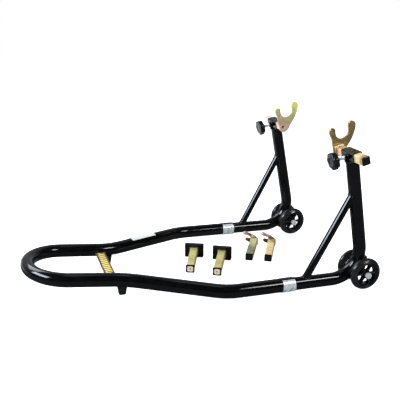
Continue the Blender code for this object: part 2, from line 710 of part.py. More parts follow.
def make_hook_adapter(name, place, heading):
    """Square tube with a small fork on its far end, lying flat with the fork leaning to one side."""
    base = empty(name, (*place, GAP), (0.0, 0.0, math.radians(heading)))
    axis = empty(f"{name}_axis", (0.0, 0.0, ADAPTER_SIDE / 2), parent=base)
    start = CAP_THICKNESS + GAP
    square_tube(f"{name}_tube", HOOK_TUBE, start, "yellow_zinc", axis)
    make_cap(f"{name}_cap", start, -1, axis)
    outline = [(x / 1000, z / 1000) for x, z in HOOK_OUTLINE]
    mesh = flat_outline([("BEZIER", outline)], HOOK_THICKNESS)
    fork = part(f"{name}_fork", mesh, "yellow_zinc", parent=axis)
    fork.location.y = HOOK_TUBE + GAP + HOOK_THICKNESS / 2


def main():
    make_main_tube()
    rail_end = along(REAR_BEND, LEG_CORNER, x=JOINT_X)
    rail_clearance = cutter("rail_clearance", tube(rail_path(rail_end), RAIL_RADIUS + GAP))
    make_strap(rail_clearance)
    make_rail_label()
    for name, side in SIDES.items():
        leg_clearance = make_leg(name, side)
        make_brace(name, side, leg_clearance)
        make_joint_band(name, side)
        make_foot(name, side, rail_clearance)
        make_head(name, side)
        make_axle_bracket(name, side, leg_clearance)
        make_wheel(f"{name}_outer", side, side * WHEEL_OFFSET)
        make_wheel(f"{name}_inner", side, -side * WHEEL_OFFSET)
    for name, (place, heading) in PADS.items():
        make_pad_adapter(name, place, heading)
    for name, (place, heading) in HOOKS.items():
        make_hook_adapter(name, place, heading)


clear_scene()
PARTS = make_collection("paddock_stand")
CUTTERS = make_collection("cutters", hidden=True)
MATERIALS = make_materials()
main()
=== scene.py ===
"""Looks of the paddock stand: finished tubes, wheels, forks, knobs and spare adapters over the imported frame.

Metres, in the frame of the CAD model: +Z up, +X from the handle to the wheels, +Y to the left.
"""

import math

import bmesh
import bpy
from mathutils import Matrix, Vector, noise


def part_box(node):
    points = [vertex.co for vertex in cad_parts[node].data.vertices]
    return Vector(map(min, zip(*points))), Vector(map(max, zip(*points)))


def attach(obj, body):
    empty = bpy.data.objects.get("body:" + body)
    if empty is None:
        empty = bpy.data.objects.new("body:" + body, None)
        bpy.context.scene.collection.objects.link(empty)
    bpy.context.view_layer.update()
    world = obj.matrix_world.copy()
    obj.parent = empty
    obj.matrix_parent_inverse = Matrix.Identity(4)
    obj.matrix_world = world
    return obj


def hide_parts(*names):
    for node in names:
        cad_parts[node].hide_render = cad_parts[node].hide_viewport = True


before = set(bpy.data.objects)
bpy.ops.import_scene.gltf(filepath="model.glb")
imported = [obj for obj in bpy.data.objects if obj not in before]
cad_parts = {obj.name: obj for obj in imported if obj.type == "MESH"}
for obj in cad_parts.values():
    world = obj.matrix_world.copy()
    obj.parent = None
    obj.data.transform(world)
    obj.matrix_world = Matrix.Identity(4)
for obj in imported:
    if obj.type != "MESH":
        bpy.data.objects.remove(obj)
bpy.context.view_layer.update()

SIDES = {"left": 1, "right": -1}
UP = Vector((0.0, 0.0, 1.0))


def centre_of(node):
    low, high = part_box(node)
    return (low + high) / 2


def mirrored(point, side):
    return Vector((point.x, point.y * side, point.z))


# Centre line of the left half of the frame, as in the CAD model
RAIL_RADIUS = 0.016
RAIL_WALL = 0.0023
HANDLE = Vector((-0.3816, 0.0881, 0.0546))
FRONT_BEND = Vector((-0.1773, 0.0941, 0.0345))
REAR_BEND = Vector((0.0297, 0.1967, 0.0232))
LEG_CORNER = Vector((0.3697, 0.1940, 0.0212))
HEAD = Vector((0.3104, 0.1997, 0.3165))
JOINT_X = 0.1919  # where the leg tube meets the main tube
BEND_RADII = {"handle": 0.087, "front": 0.140, "rear": 0.110, "leg": 0.066}
LEG_RADIUS = 0.015
LEG_BORE = 0.0113
SPIGOT_RADIUS = 0.0132
SPIGOT_LENGTH = 0.042
BRACE_RADIUS = 0.00875
BRACE_FOOT_X = 0.2145
BRACE_TOP_Z = 0.2335

SMOOTH = 0.0001  # what a finely rounded outline stands proud of the faceted CAD model
BAND_FROM_JOINT = (0.0333, 0.0023)  # where the foil band starts and ends, back from the joint
FILM_X = (-0.1176, -0.0496)  # the ends of the white film on the rail
FILM_SKIN = (0.0003, 0.0008)  # how far a wrapped film's two faces stand off the rail

# Heads
HEAD_TILT = math.radians(14.0)
SLEEVE_SIDE = 0.0238
SLEEVE_BORE = 0.0198
SLEEVE_LENGTH = 0.050
ADAPTER_SIDE = 0.019
ADAPTER_BORE = 0.0154
ADAPTER_CORNER = 0.0022
ADAPTER_OUT = 0.056
CAP_THICKNESS = 0.003
FORK_FACE = 0.0519
FORK_THICKNESS = 0.006
PLATE_EASE = 0.0007
FORK_HOLE = 0.0035
FORK_HOLE_AT = (-0.0040, -0.0010)  # from the middle of the tube
GAP = 0.0003
NUT_RADIUS = 0.007
NUT_LENGTH = 0.008
STUD_RADIUS = 0.004
STUD_MINOR = 0.0034
STUD_PITCH = 0.00125
STUD_SPAN = (-0.0506, -0.0098)
KNOB_OUT = 0.0466
KNOB_RADIUS = 0.020
KNOB_HALF = 0.007
KNOB_LOBES = 7
KNOB_WAVE = 0.0011

# Wheels
WHEEL_OFFSET = 0.0288
TYRE_RADIUS = 0.0380
TYRE_CROWN = 0.0099  # how far the tread falls away to the flanks
TYRE_HALF = 0.011
RIM_RADIUS = 0.027
RIM_HALF = 0.0095
HUB_HALF = 0.011
HUB_RADIUS = 0.0095
SPOKES = 6
AXLE_BORE = 0.0043
BOLT_RADIUS = 0.0075
BOLT_HEAD = 0.0053
NUT_HEIGHT = 0.0065
BOLT_TAIL = 0.0075

# Spare adapters: where the end of each tube rests, and its heading in degrees
PADS = {"pad_adapter_a": ((-0.0023, -0.0240), -23.0), "pad_adapter_b": ((0.0549, -0.0585), -26.6)}
PAD_TUBE = 0.100
PAD_LIFT = 0.0005
PAD_PLATE = Vector((0.0472, 0.0040, 0.0350))
PAD_RUBBER = Vector((0.0490, 0.0070, 0.0355))
HOOKS = {"hook_adapter_a": ((0.1654, 0.0082), -29.0), "hook_adapter_b": ((0.2093, -0.0118), -29.0)}
HOOK_TUBE = 0.118
HOOK_THICKNESS = 0.006

# Radius of each weld's bead
BEADS = {
    "sleeve": 0.0018, "brace": 0.0019, "strap": 0.0013, "boss": 0.0014, "fork": 0.0025, "pad": 0.0016,
    "hook": 0.0015,
}
BEAD_STEP = 0.0007  # between the rings of a bead's mesh
BEAD_PITCH = 0.0024  # between its ripples

# Outlines seen along Y, in millimetres
FORK_OUTLINE = (
    (-15.8, 3.0), (-18.8, 13.5), (-21.8, 25.5), (-28.0, 38.0), (-27.6, 46.0), (-21.4, 50.6), (-15.4, 47.2),
    (-14.2, 40.0), (-10.2, 31.4), (1.4, 26.0), (13.0, 30.2), (19.0, 38.0), (19.0, 46.0), (17.2, 56.5),
    (20.8, 64.0), (27.4, 66.2), (34.4, 61.2), (35.7, 52.5), (33.0, 38.0), (25.9, 20.0), (16.8, 5.0),
    (10.4, -8.0), (-0.6, -14.6), (-11.2, -10.4),
)
HOOK_OUTLINE = (
    (0.0, -9.0), (-8.5, -7.0), (-16.0, -3.0), (-23.0, 0.5), (-24.6, 4.6), (-20.6, 7.4), (-13.6, 6.4),
    (-9.8, 9.4), (-13.4, 13.0), (-20.8, 15.2), (-28.0, 17.2), (-30.4, 21.4), (-26.4, 24.8), (-16.0, 21.4),
    (-4.0, 17.0), (5.0, 11.6), (9.2, 4.0), (8.6, -4.4),
)


# Materials


def add_node(tree, kind, values=None, **settings):
    """A shader node with its own settings, and with values on its inputs by their names or places."""
    node = tree.nodes.new(f"ShaderNode{kind}")
    for setting, value in settings.items():
        setattr(node, setting, value)
    for socket, value in (values or {}).items():
        node.inputs[socket].default_value = value
    return node


def set_stops(ramp, stops):
    """Give a colour ramp its (position, colour) stops."""
    elements = ramp.color_ramp.elements
    while len(elements) < len(stops):
        elements.new(0.5)
    for element, (position, colour) in zip(elements, stops):
        element.position = position
        element.color = (*colour, 1.0)


class Shader:
    """A material under construction, with short names for the nodes it needs."""

    def __init__(self, name, metallic=0.0):
        self.material = bpy.data.materials.new(name)
        self.material.use_nodes = True
        self.tree = self.material.node_tree
        self.principled = self.tree.nodes["Principled BSDF"]
        self.principled.inputs["Metallic"].default_value = metallic
        self.place = self.node("TexCoord").outputs["Object"]

    def node(self, kind, values=None, **settings):
        return add_node(self.tree, kind, values, **settings)

    def link(self, output, target):
        self.tree.links.new(output, target)

    def noise(self, scale, detail=3.0, distortion=0.0):
        node = self.node("TexNoise", {"Scale": scale, "Detail": detail, "Distortion": distortion})
        self.link(self.place, node.inputs["Vector"])
        return node.outputs["Fac"]

    def spread(self, factor, low, high):
        """The middle of a noise's range, stretched to run from low to high."""
        node = self.node("MapRange", {"From Min": 0.3, "From Max": 0.7, "To Min": low, "To Max": high})
        self.link(factor, node.inputs["Value"])
        return node.outputs["Result"]

    def along(self, origin, end):
        """0 at the origin and 1 at the end, along the line between them."""
        run = Vector(end) - Vector(origin)
        share = run / run.length_squared
        dot = self.node("VectorMath", {1: share}, operation="DOT_PRODUCT")
        self.link(self.place, dot.inputs[0])
        offset = self.node("Math", {1: Vector(origin).dot(share)}, operation="SUBTRACT")
        self.link(dot.outputs["Value"], offset.inputs[0])
        return offset.outputs["Value"]

    def colour(self, factor, stops):
        """Base colour from a ramp whose stops are (position, colour)."""
        node = self.node("ValToRGB")
        set_stops(node, stops)
        self.link(factor, node.inputs["Fac"])
        self.link(node.outputs["Color"], self.principled.inputs["Base Color"])

    def finish(self, gloss, roughness, grain, bump):
        """Roughness that comes and goes, and a fine bump of a strength and a distance in metres."""
        self.link(self.spread(self.noise(*gloss), *roughness), self.principled.inputs["Roughness"])
        strength, distance = bump
        node = self.node("Bump", {"Strength": strength, "Distance": distance})
        self.link(self.noise(*grain), node.inputs["Height"])
        self.link(node.outputs["Normal"], self.principled.inputs["Normal"])
        return self.material


def surface(name, tint, stops, gloss, roughness, grain, bump, metallic=0.0):
    """A material whose tint, gloss and grain each follow a noise of (scale, detail, distortion)."""
    made = Shader(name, metallic)
    made.colour(made.noise(*tint), stops)
    return made.finish(gloss, roughness, grain, bump)


def zinc(name, stops, origin, end, patches=0.5, roughness=(0.24, 0.40), metallic=0.5):
    """Passivated zinc, whose tint drifts from the origin to the end and in cloudy patches. Where the drift
    runs upwards, as on the plated weld beads and the hook forks, it is a painted highlight on top.
    """
    made = Shader(name, metallic)
    cloud = made.spread(made.noise(62.0, 3.0, 1.2), -patches / 2, patches / 2)
    tint = made.node("Math", operation="ADD")
    made.link(made.along(origin, end), tint.inputs[0])
    made.link(cloud, tint.inputs[1])
    made.colour(tint.outputs["Value"], stops)
    return made.finish((140.0, 4.0), roughness, (260.0, 2.0), (0.08, 0.0003))


def patterned_film():
    """Gold film with thin slanted dark lines, a plain pattern with no letters in it."""
    made = Shader("patterned_gold_film")
    flat = made.node("Mapping", {"Scale": (1.0, 1.0, 0.0)})
    wave = made.node("TexWave", {"Scale": 44.0, "Distortion": 0.0}, bands_direction="DIAGONAL")
    made.link(made.place, flat.inputs["Vector"])
    made.link(flat.outputs["Vector"], wave.inputs["Vector"])
    gold, dark = (0.74, 0.54, 0.13), (0.014, 0.012, 0.010)
    made.colour(wave.outputs["Fac"], [(0.66, gold), (0.74, dark)])
    return made.finish((220.0,), (0.26, 0.40), (600.0, 2.0), (0.06, 0.0002))


PAINT = surface(
    "black_powder_coat", (55.0,), [(0.35, (0.0010, 0.0010, 0.0012)), (0.75, (0.0026, 0.0026, 0.0030))],
    (38.0, 4.0), (0.07, 0.15), (620.0, 1.5), (0.05, 0.0004),
)
WELD = surface(
    "painted_weld", (240.0,), [(0.3, (0.0015, 0.0015, 0.0017)), (0.8, (0.0040, 0.0040, 0.0044))],
    (300.0, 3.0), (0.12, 0.26), (900.0, 2.0), (0.20, 0.0006),
)
BRIGHT = surface(
    "bright_zinc_plate", (90.0, 3.0, 0.6),
    [(0.3, (0.58, 0.60, 0.63)), (0.55, (0.80, 0.81, 0.82)), (0.8, (0.92, 0.91, 0.88))],
    (210.0, 4.0), (0.24, 0.42), (700.0, 2.0), (0.08, 0.0003), 0.6,
)
STEEL = surface(
    "dull_steel", (110.0, 3.0, 0.8),
    [(0.3, (0.060, 0.055, 0.052)), (0.55, (0.11, 0.10, 0.092)), (0.8, (0.17, 0.155, 0.14))],
    (230.0, 4.0), (0.28, 0.46), (600.0, 2.0), (0.10, 0.0003), 0.5,
)
PLASTIC = surface(
    "moulded_black_plastic", (120.0,), [(0.3, (0.0025, 0.0025, 0.0030)), (0.8, (0.0060, 0.0060, 0.0066))],
    (170.0, 4.0), (0.16, 0.30), (1500.0, 2.0), (0.10, 0.0003),
)
TYRE_RUBBER = surface(
    "tyre_rubber", (90.0,), [(0.3, (0.006, 0.006, 0.006)), (0.8, (0.012, 0.012, 0.0126))],
    (160.0, 4.0), (0.16, 0.28), (900.0, 3.0), (0.08, 0.0004),
)
PAD_BLACK = surface(
    "pad_rubber", (90.0,), [(0.3, (0.003, 0.003, 0.003)), (0.8, (0.006, 0.006, 0.0063))],
    (160.0, 4.0), (0.16, 0.28), (700.0, 3.0), (0.08, 0.0004),
)
FOIL = surface(
    "silver_foil", (95.0, 3.0, 0.6),
    [(0.30, (0.30, 0.35, 0.40)), (0.46, (0.58, 0.63, 0.66)), (0.75, (0.84, 0.85, 0.84))],
    (140.0, 3.0), (0.22, 0.36), (150.0, 3.0, 0.5), (0.20, 0.0008), 0.5,
)
FILM = surface(
    "white_film", (70.0,), [(0.3, (0.54, 0.54, 0.53)), (0.8, (0.62, 0.62, 0.62))],
    (200.0,), (0.30, 0.42), (500.0, 2.0), (0.05, 0.0002),
)
PATTERN = patterned_film()

# Colours of the passivated zinc, which differ from piece to piece
OLIVE, BROWN, SALMON, CREAM = (0.34, 0.27, 0.12), (0.20, 0.12, 0.06), (0.95, 0.64, 0.46), (0.98, 0.80, 0.62)
TAN, LIME, MOSS = (0.95, 0.72, 0.36), (0.86, 0.82, 0.25), (0.44, 0.50, 0.22)
PRONG = Vector((0.025, 0.0, 0.066))  # from the middle of the tube to the fork's longer prong
FORK_ZINC = {
    "left": zinc(
        "fork_zinc_left",
        [
            (0.0, (0.66, 0.48, 0.33)), (0.14, (0.50, 0.35, 0.24)), (0.28, (0.60, 0.52, 0.28)), (0.5, MOSS),
            (0.8, LIME),
        ],
        mirrored(HEAD, 1), mirrored(HEAD, 1) + PRONG, 0.36,
    ),
    "right": zinc(
        "fork_zinc_right",
        [
            (0.0, (0.42, 0.27, 0.10)), (0.2, (0.52, 0.40, 0.17)), (0.4, (0.36, 0.27, 0.11)), (0.7, OLIVE),
            (1.0, (0.50, 0.35, 0.17)),
        ],
        mirrored(HEAD, -1), mirrored(HEAD, -1) + PRONG, 0.45, (0.20, 0.34), 0.75,
    ),
}
TUBE_STOPS = {
    "left": [
        (0.0, BROWN), (0.04, SALMON), (0.6, SALMON), (0.85, (0.95, 0.76, 0.66)), (1.0, (0.98, 0.84, 0.78)),
    ],
    "right": [
        (0.0, BROWN), (0.04, (0.60, 0.30, 0.11)), (0.14, (0.90, 0.52, 0.27)), (0.30, SALMON), (0.60, TAN),
        (0.88, TAN), (0.94, (0.52, 0.31, 0.15)),
    ],
}
TUBE_ZINC = {
    name: zinc(
        f"tube_zinc_{name}", TUBE_STOPS[name], mirrored(HEAD, side) - Vector((0.0, 0.050 * side, 0.0)),
        mirrored(HEAD, side) + Vector((0.0, 0.055 * side, 0.0)), 0.10,
    )
    for name, side in SIDES.items()
}
PAD_ZINC = zinc(
    "pad_zinc",
    [
        (0.0, CREAM), (0.08, CREAM), (0.12, (0.66, 0.58, 0.20)), (0.35, (0.50, 0.44, 0.16)),
        (0.6, (0.66, 0.60, 0.21)), (1.0, MOSS),
    ],
    (0.0, -0.03, 0.0), (0.06, 0.06, 0.0), 0.10,
)
HOOK_ZINC = {
    "hook_adapter_a": zinc(
        "hook_zinc_a",
        [
            (0.0, (0.30, 0.32, 0.17)), (0.35, (0.24, 0.26, 0.14)), (0.6, (0.52, 0.50, 0.24)),
            (1.0, (0.72, 0.68, 0.36)),
        ],
        (0.165, 0.06, 0.0), (0.22, 0.075, 0.014), 0.25,
    ),
    "hook_adapter_b": zinc(
        "hook_zinc_b",
        [
            (0.0, TAN), (0.3, (0.95, 0.66, 0.36)), (0.55, (0.92, 0.76, 0.38)), (0.8, TAN),
            (1.0, (0.42, 0.34, 0.17)),
        ],
        (0.21, 0.04, 0.0), (0.27, 0.055, 0.010), 0.3,
    ),
}
# Hook forks: zinc tint in large patches over a run by height from dark brown low down to pale cream on top;
# the brown is painted shade and the cream a painted highlight on the upper edges
HOOK_FORK_ZINC_PAINTED_LIGHT = zinc(
    "hook_fork_zinc_painted_light",
    [
        (0.0, (0.20, 0.09, 0.03)), (0.45, (0.34, 0.18, 0.07)), (0.62, (0.90, 0.66, 0.48)),
        (1.0, (1.0, 0.84, 0.74)),
    ],
    (0.0, 0.0, 0.004), (0.0, 0.0, 0.034), 1.2, (0.10, 0.20), 0.8,
)
# Plated weld: brown zinc that turns cream over the tops of the beads round the head adapters, z 0.30 to 0.33
# m; the cream top is a painted highlight
WELD_ZINC_PAINTED_HIGHLIGHT = zinc(
    "weld_zinc_painted_highlight", [(0.0, BROWN), (0.5, (0.50, 0.33, 0.14)), (0.85, TAN), (1.0, (1.0, 0.90, 0.62))],
    (0.0, 0.0, 0.30), (0.0, 0.0, 0.33), 0.2, (0.16, 0.30),
)

# Mesh builders


def mesh_of_rings(name, rings, wrap=False, smooth_angle=40.0):
    """A closed mesh through rings of equally many points. A ring of one point closes an end."""
    shape = bmesh.new()
    made = [[shape.verts.new(point) for point in ring] for ring in rings]
    pairs = list(zip(made, made[1:]))
    if wrap:
        pairs.append((made[-1], made[0]))
    for first, second in pairs:
        count = max(len(first), len(second))
        for i in range(count):
            j = (i + 1) % count
            corners = [first[i % len(first)], first[j % len(first)]]
            corners += [second[j % len(second)], second[i % len(second)]]
            face = [corner for k, corner in enumerate(corners) if corner not in corners[:k]]
            shape.faces.new(face)
    if not wrap:
        for ring in (made[0], made[-1]):
            if len(ring) > 2:
                shape.faces.new(ring)
    bmesh.ops.recalc_face_normals(shape, faces=shape.faces)
    return mesh_of(name, shape, smooth_angle)


def finish_shading(mesh, smooth_angle=40.0):
    mesh.shade_smooth()
    mesh.set_sharp_from_angle(angle=math.radians(smooth_angle))


def mesh_of(name, shape, smooth_angle=40.0):
    """The finished mesh of a bmesh, which is freed."""
    mesh = bpy.data.meshes.new(name)
    shape.to_mesh(mesh)
    shape.free()
    finish_shading(mesh, smooth_angle)
    return mesh


def joined(name, meshes):
    """One mesh that holds several closed bodies."""
    shape = bmesh.new()
    for mesh in meshes:
        shape.from_mesh(mesh)
    return mesh_of(name, shape)


def moved(mesh, matrix):
    copy = mesh.copy()
    copy.transform(matrix)
    return copy


def boolean(mesh, cutter, operation):
    """The mesh after an exact Boolean with the cutter."""
    target = bpy.data.objects.new("target", mesh)
    tool = bpy.data.objects.new("tool", cutter)
    for obj in (target, tool):
        bpy.context.scene.collection.objects.link(obj)
    modifier = target.modifiers.new("boolean", "BOOLEAN")
    modifier.operation = operation
    modifier.solver = "EXACT"
    modifier.object = tool
    graph = bpy.context.evaluated_depsgraph_get()
    made = bpy.data.meshes.new_from_object(target.evaluated_get(graph))
    for obj in (target, tool):
        bpy.data.objects.remove(obj, do_unlink=True)
    finish_shading(made)
    return made


def frames_along(path, closed=False):
    """(point, normal, binormal) at each point of the path, turned as little as possible between points."""
    count = len(path)
    tangents = []
    for i in range(count):
        before = path[i - 1] if i or closed else path[0]
        after = path[(i + 1) % count] if i + 1 < count or closed else path[-1]
        tangents.append((after - before).normalized())
    reference = UP if abs(tangents[0].dot(UP)) < 0.9 else Vector((0.0, 1.0, 0.0))
    normal = (reference - tangents[0] * reference.dot(tangents[0])).normalized()
    found = []
    for i, tangent in enumerate(tangents):
        if i:
            normal = tangents[i - 1].rotation_difference(tangent) @ normal
            normal = (normal - tangent * normal.dot(tangent)).normalized()
        found.append((path[i], normal, tangent.cross(normal)))
    return found


def full_turn(count):
    return [2 * math.pi * i / count for i in range(count)]


def ring_at(place, radius, sides):
    point, normal, binormal = place
    return [point + radius * (math.cos(a) * normal + math.sin(a) * binormal) for a in full_turn(sides)]


def ring_about_x(radii, x, matrix):
    """A ring across X from its radii at equal angles."""
    turn = zip(radii, full_turn(len(radii)))
    return [matrix @ Vector((x, radius * math.cos(a), radius * math.sin(a))) for radius, a in turn]


def ring_about_y(radii, y, matrix):
    """A ring across Y from its radii at equal angles."""
    turn = zip(radii, full_turn(len(radii)))
    return [matrix @ Vector((radius * math.cos(a), y, radius * math.sin(a))) for radius, a in turn]


def slid_to(plane, ring, path):
    """A ring at the end of a path, slid along it onto a plane of (point, normal)."""
    point, normal = plane
    run = (path[-1] - path[-2]).normalized()
    return [p + run * (point - p).dot(normal) / run.dot(normal) for p in ring]


def pipe(name, path, outer, inner, sides=48, end_plane=None):
    """A hollow round tube along the path. end_plane is a (point, normal) that trims the last end."""
    places = frames_along(path)
    rings = [ring_at(place, outer, sides) for place in places]
    rings += [ring_at(place, inner, sides) for place in reversed(places)]
    if end_plane:
        for index in (len(path) - 1, len(path)):
            rings[index] = slid_to(end_plane, rings[index], path)
    return mesh_of_rings(name, rings, wrap=True)


def fillet_path(corners, radii):
    """Points along straight runs joined by round bends. radii holds one value for each inner corner."""
    step = math.radians(2.5)
    path = [Vector(corners[0])]
    for before, corner, after, radius in zip(corners, corners[1:], corners[2:], radii):
        back = (before - corner).normalized()
        ahead = (after - corner).normalized()
        bend = math.pi - back.angle(ahead)
        centre = corner + (back + ahead).normalized() * radius / math.cos(bend / 2)
        spoke = corner + back * radius * math.tan(bend / 2) - centre
        axis = back.cross(ahead)
        count = max(4, math.ceil(bend / step))
        for i in range(count + 1):
            path.append(centre + Matrix.Rotation(-bend * i / count, 3, axis) @ spoke)
    path.append(Vector(corners[-1]))
    return path


def between(start, end, **fixed):
    """The point of a straight run at a given x or z."""
    name, value = next(iter(fixed.items()))
    share = (value - getattr(start, name)) / (getattr(end, name) - getattr(start, name))
    return start.lerp(end, share)


def turned(name, profile, matrix, steps=72, wrap=True):
    """A profile of (radius, y) turned about Y. An open profile starts and ends on the axis."""
    rings = []
    for radius, y in profile:
        rings.append(ring_about_y([radius] * (steps if radius else 1), y, matrix))
    return mesh_of_rings(name, rings, wrap=wrap, smooth_angle=32.0)


def square_ring(side, corner, y, matrix, segments=6, height=None):
    """A square or rectangular ring with round corners, across Y."""
    half_x, half_z = side / 2 - corner, (height or side) / 2 - corner
    ring = []
    for quarter, (sx, sz) in enumerate(((1, 1), (-1, 1), (-1, -1), (1, -1))):
        for i in range(segments + 1):
            a = math.pi / 2 * (quarter + i / segments)
            x, z = sx * half_x + corner * math.cos(a), sz * half_z + corner * math.sin(a)
            ring.append(matrix @ Vector((x, y, z)))
    return ring


def square_pipe(name, side, corner, bore, start, end, matrix, chamfer=0.0004, floor=None):
    """A square tube along Y with round corners and eased ends. floor is the inner face of a closed end."""
    inner = max(corner - (side - bore) / 2, 0.0006)
    ease = math.copysign(chamfer, end - start)
    eased, lip = (side - 2 * chamfer, corner - chamfer), (bore + 2 * chamfer, inner + chamfer)
    outside = [(side, corner, start + ease), (side, corner, end - ease), (*eased, end)]
    inside = [(bore, inner, start + ease), (*lip, start), (*eased, start)]
    if floor is None:
        steps = outside + [(*lip, end), (bore, inner, end - ease)] + inside
    else:
        steps = [(bore, inner, floor)] + inside + outside
    return mesh_of_rings(name, [square_ring(*step, matrix) for step in steps], wrap=floor is None)


def rounded_box(name, size, radius, matrix, segments=3):
    shape = bmesh.new()
    bmesh.ops.create_cube(shape, size=1.0, matrix=Matrix.Diagonal((*size, 1.0)))
    bmesh.ops.bevel(shape, geom=shape.edges[:], offset=radius, segments=segments, profile=0.5, affect="EDGES")
    bmesh.ops.transform(shape, matrix=matrix, verts=shape.verts)
    return mesh_of(name, shape, 50.0)


def rounded_plate(name, size, corner, edge, matrix):
    """A plate across Y whose outline has round corners and whose two faces have eased edges."""
    half = size.y / 2
    steps = [(edge, half)]
    steps += [(edge * (1 - math.sin(a)), half - edge * (1 - math.cos(a))) for a in (0.5, 1.0, math.pi / 2)]
    steps += [(inset, -y) for inset, y in reversed(steps)]
    rings = []
    for inset, y in steps:
        side, height = size.x - 2 * inset, size.z - 2 * inset
        rings.append(square_ring(side, corner - inset, y, matrix, height=height))
    return mesh_of_rings(name, rings)


def outline_plate(name, outline, thickness, matrix, hole=None):
    """A flat plate across Y from a smooth closed outline in millimetres. hole is (radius, x, z) in metres."""
    curve = bpy.data.curves.new(name, "CURVE")
    curve.dimensions = "2D"
    curve.fill_mode = "BOTH"
    curve.extrude = thickness / 2
    curve.resolution_u = 8
    spline = curve.splines.new("BEZIER")
    spline.use_cyclic_u = True
    spline.bezier_points.add(len(outline) - 1)
    for place, (x, z) in zip(spline.bezier_points, outline):
        place.co = (x / 1000, z / 1000, 0.0)
        place.handle_left_type = "AUTO"
        place.handle_right_type = "AUTO"
    if hole:
        radius, x, z = hole
        spline = curve.splines.new("POLY")
        spline.use_cyclic_u = True
        steps = full_turn(32)
        spline.points.add(len(steps) - 1)
        for place, a in zip(spline.points, steps):
            place.co = (x + radius * math.cos(a), z + radius * math.sin(a), 0.0, 1.0)
    holder = bpy.data.objects.new(name, curve)
    bpy.context.scene.collection.objects.link(holder)
    graph = bpy.context.evaluated_depsgraph_get()
    flat = bpy.data.meshes.new_from_object(holder.evaluated_get(graph))
    bpy.data.objects.remove(holder, do_unlink=True)
    shape = bmesh.new()
    shape.from_mesh(flat)
    bmesh.ops.remove_doubles(shape, verts=shape.verts, dist=1e-6)
    shape.normal_update()
    rim = [e for e in shape.edges if len(e.link_faces) == 2 and e.calc_face_angle() > math.radians(60.0)]
    bmesh.ops.bevel(
        shape, geom=rim, offset=PLATE_EASE, segments=3, profile=0.5, affect="EDGES", clamp_overlap=False
    )
    upright = matrix @ Matrix.Rotation(math.radians(90.0), 4, "X")
    bmesh.ops.transform(shape, matrix=upright, verts=shape.verts)
    bmesh.ops.recalc_face_normals(shape, faces=shape.faces)
    return mesh_of(name, shape)


def evenly(path, step):
    """The points of a closed path again, spaced by about the step."""
    points = [*path, path[0]]
    lengths = [(b - a).length for a, b in zip(points, points[1:])]
    total = sum(lengths)
    count = max(8, round(total / step))
    spaced = []
    index, passed = 0, 0.0
    for i in range(count):
        target = total * i / count
        while index < len(lengths) - 1 and passed + lengths[index] < target:
            passed += lengths[index]
            index += 1
        share = (target - passed) / lengths[index] if lengths[index] else 0.0
        spaced.append(points[index].lerp(points[index + 1], min(share, 1.0)))
    return spaced


def add_weld(name, loop, radius, body="frame"):
    """A bead round the loop, with the ripples of a hand-laid weld: painted on the frame, plated elsewhere."""
    path = evenly(loop, BEAD_STEP)
    run = 0.0
    rings = []
    for i, place in enumerate(frames_along(path, closed=True)):
        if i:
            run += (path[i] - path[i - 1]).length
        ripple = 0.22 * math.sin(math.pi * ((run / BEAD_PITCH) % 1.0))
        wander = 0.14 * noise.noise(path[i] * 260.0)
        rings.append(ring_at(place, radius * (0.84 + ripple + wander), 10))
    bead = mesh_of_rings(name, rings, wrap=True, smooth_angle=60.0)
    # Plated beads take the weld zinc, with its painted highlight along the tops of the beads at the heads
    material, slot = (WELD, "black_paint") if body == "frame" else (WELD_ZINC_PAINTED_HIGHLIGHT, "yellow_zinc")
    piece(name, bead, material, body, slot)


def saddle(point, direction, radius, other_point, other_direction, other_radius, steps=64):
    """Where a round bar that starts inside a round tube comes out of it."""
    direction, axis = direction.normalized(), other_direction.normalized()
    first = direction.orthogonal().normalized()
    second = direction.cross(first)
    found = []
    for i in range(steps):
        a = 2 * math.pi * i / steps
        start = point + radius * (math.cos(a) * first + math.sin(a) * second)
        offset = start - other_point
        offset -= axis * offset.dot(axis)
        climb = direction - axis * direction.dot(axis)
        half = offset.dot(climb) / climb.length_squared
        rest = (offset.length_squared - other_radius ** 2) / climb.length_squared
        found.append(start + direction * (-half + math.sqrt(max(half ** 2 - rest, 0.0))))
    return found


def piece(name, mesh, material, body, slot, *replaced):
    """A finished piece that moves with a body and stands for the CAD nodes it replaces."""
    obj = bpy.data.objects.new(name, mesh)
    mesh.materials.clear()
    mesh.materials.append(material)
    bpy.context.scene.collection.objects.link(obj)
    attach(obj, body)
    if replaced:
        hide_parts(*replaced)
    return obj


# Frame pieces


def rail_path(end):
    half = [end, REAR_BEND, FRONT_BEND, HANDLE]
    corners = half + [mirrored(point, -1) for point in reversed(half)]
    radii = [BEND_RADII["rear"], BEND_RADII["front"], BEND_RADII["handle"]]
    return fillet_path(corners, radii + radii[::-1])


def rear_run(x, side):
    return mirrored(between(REAR_BEND, LEG_CORNER, x=x), side)


def head_matrix(side):
    return Matrix.Translation(mirrored(HEAD, side)) @ Matrix.Rotation(-HEAD_TILT, 4, "Y")


def build_main_tube():
    path = rail_path(between(REAR_BEND, LEG_CORNER, x=JOINT_X))
    mesh = pipe("main_tube_finish", path, RAIL_RADIUS - SMOOTH, RAIL_RADIUS - RAIL_WALL, 56)
    piece("main_tube_finish", mesh, PAINT, "frame", "black_paint", "main_tube")


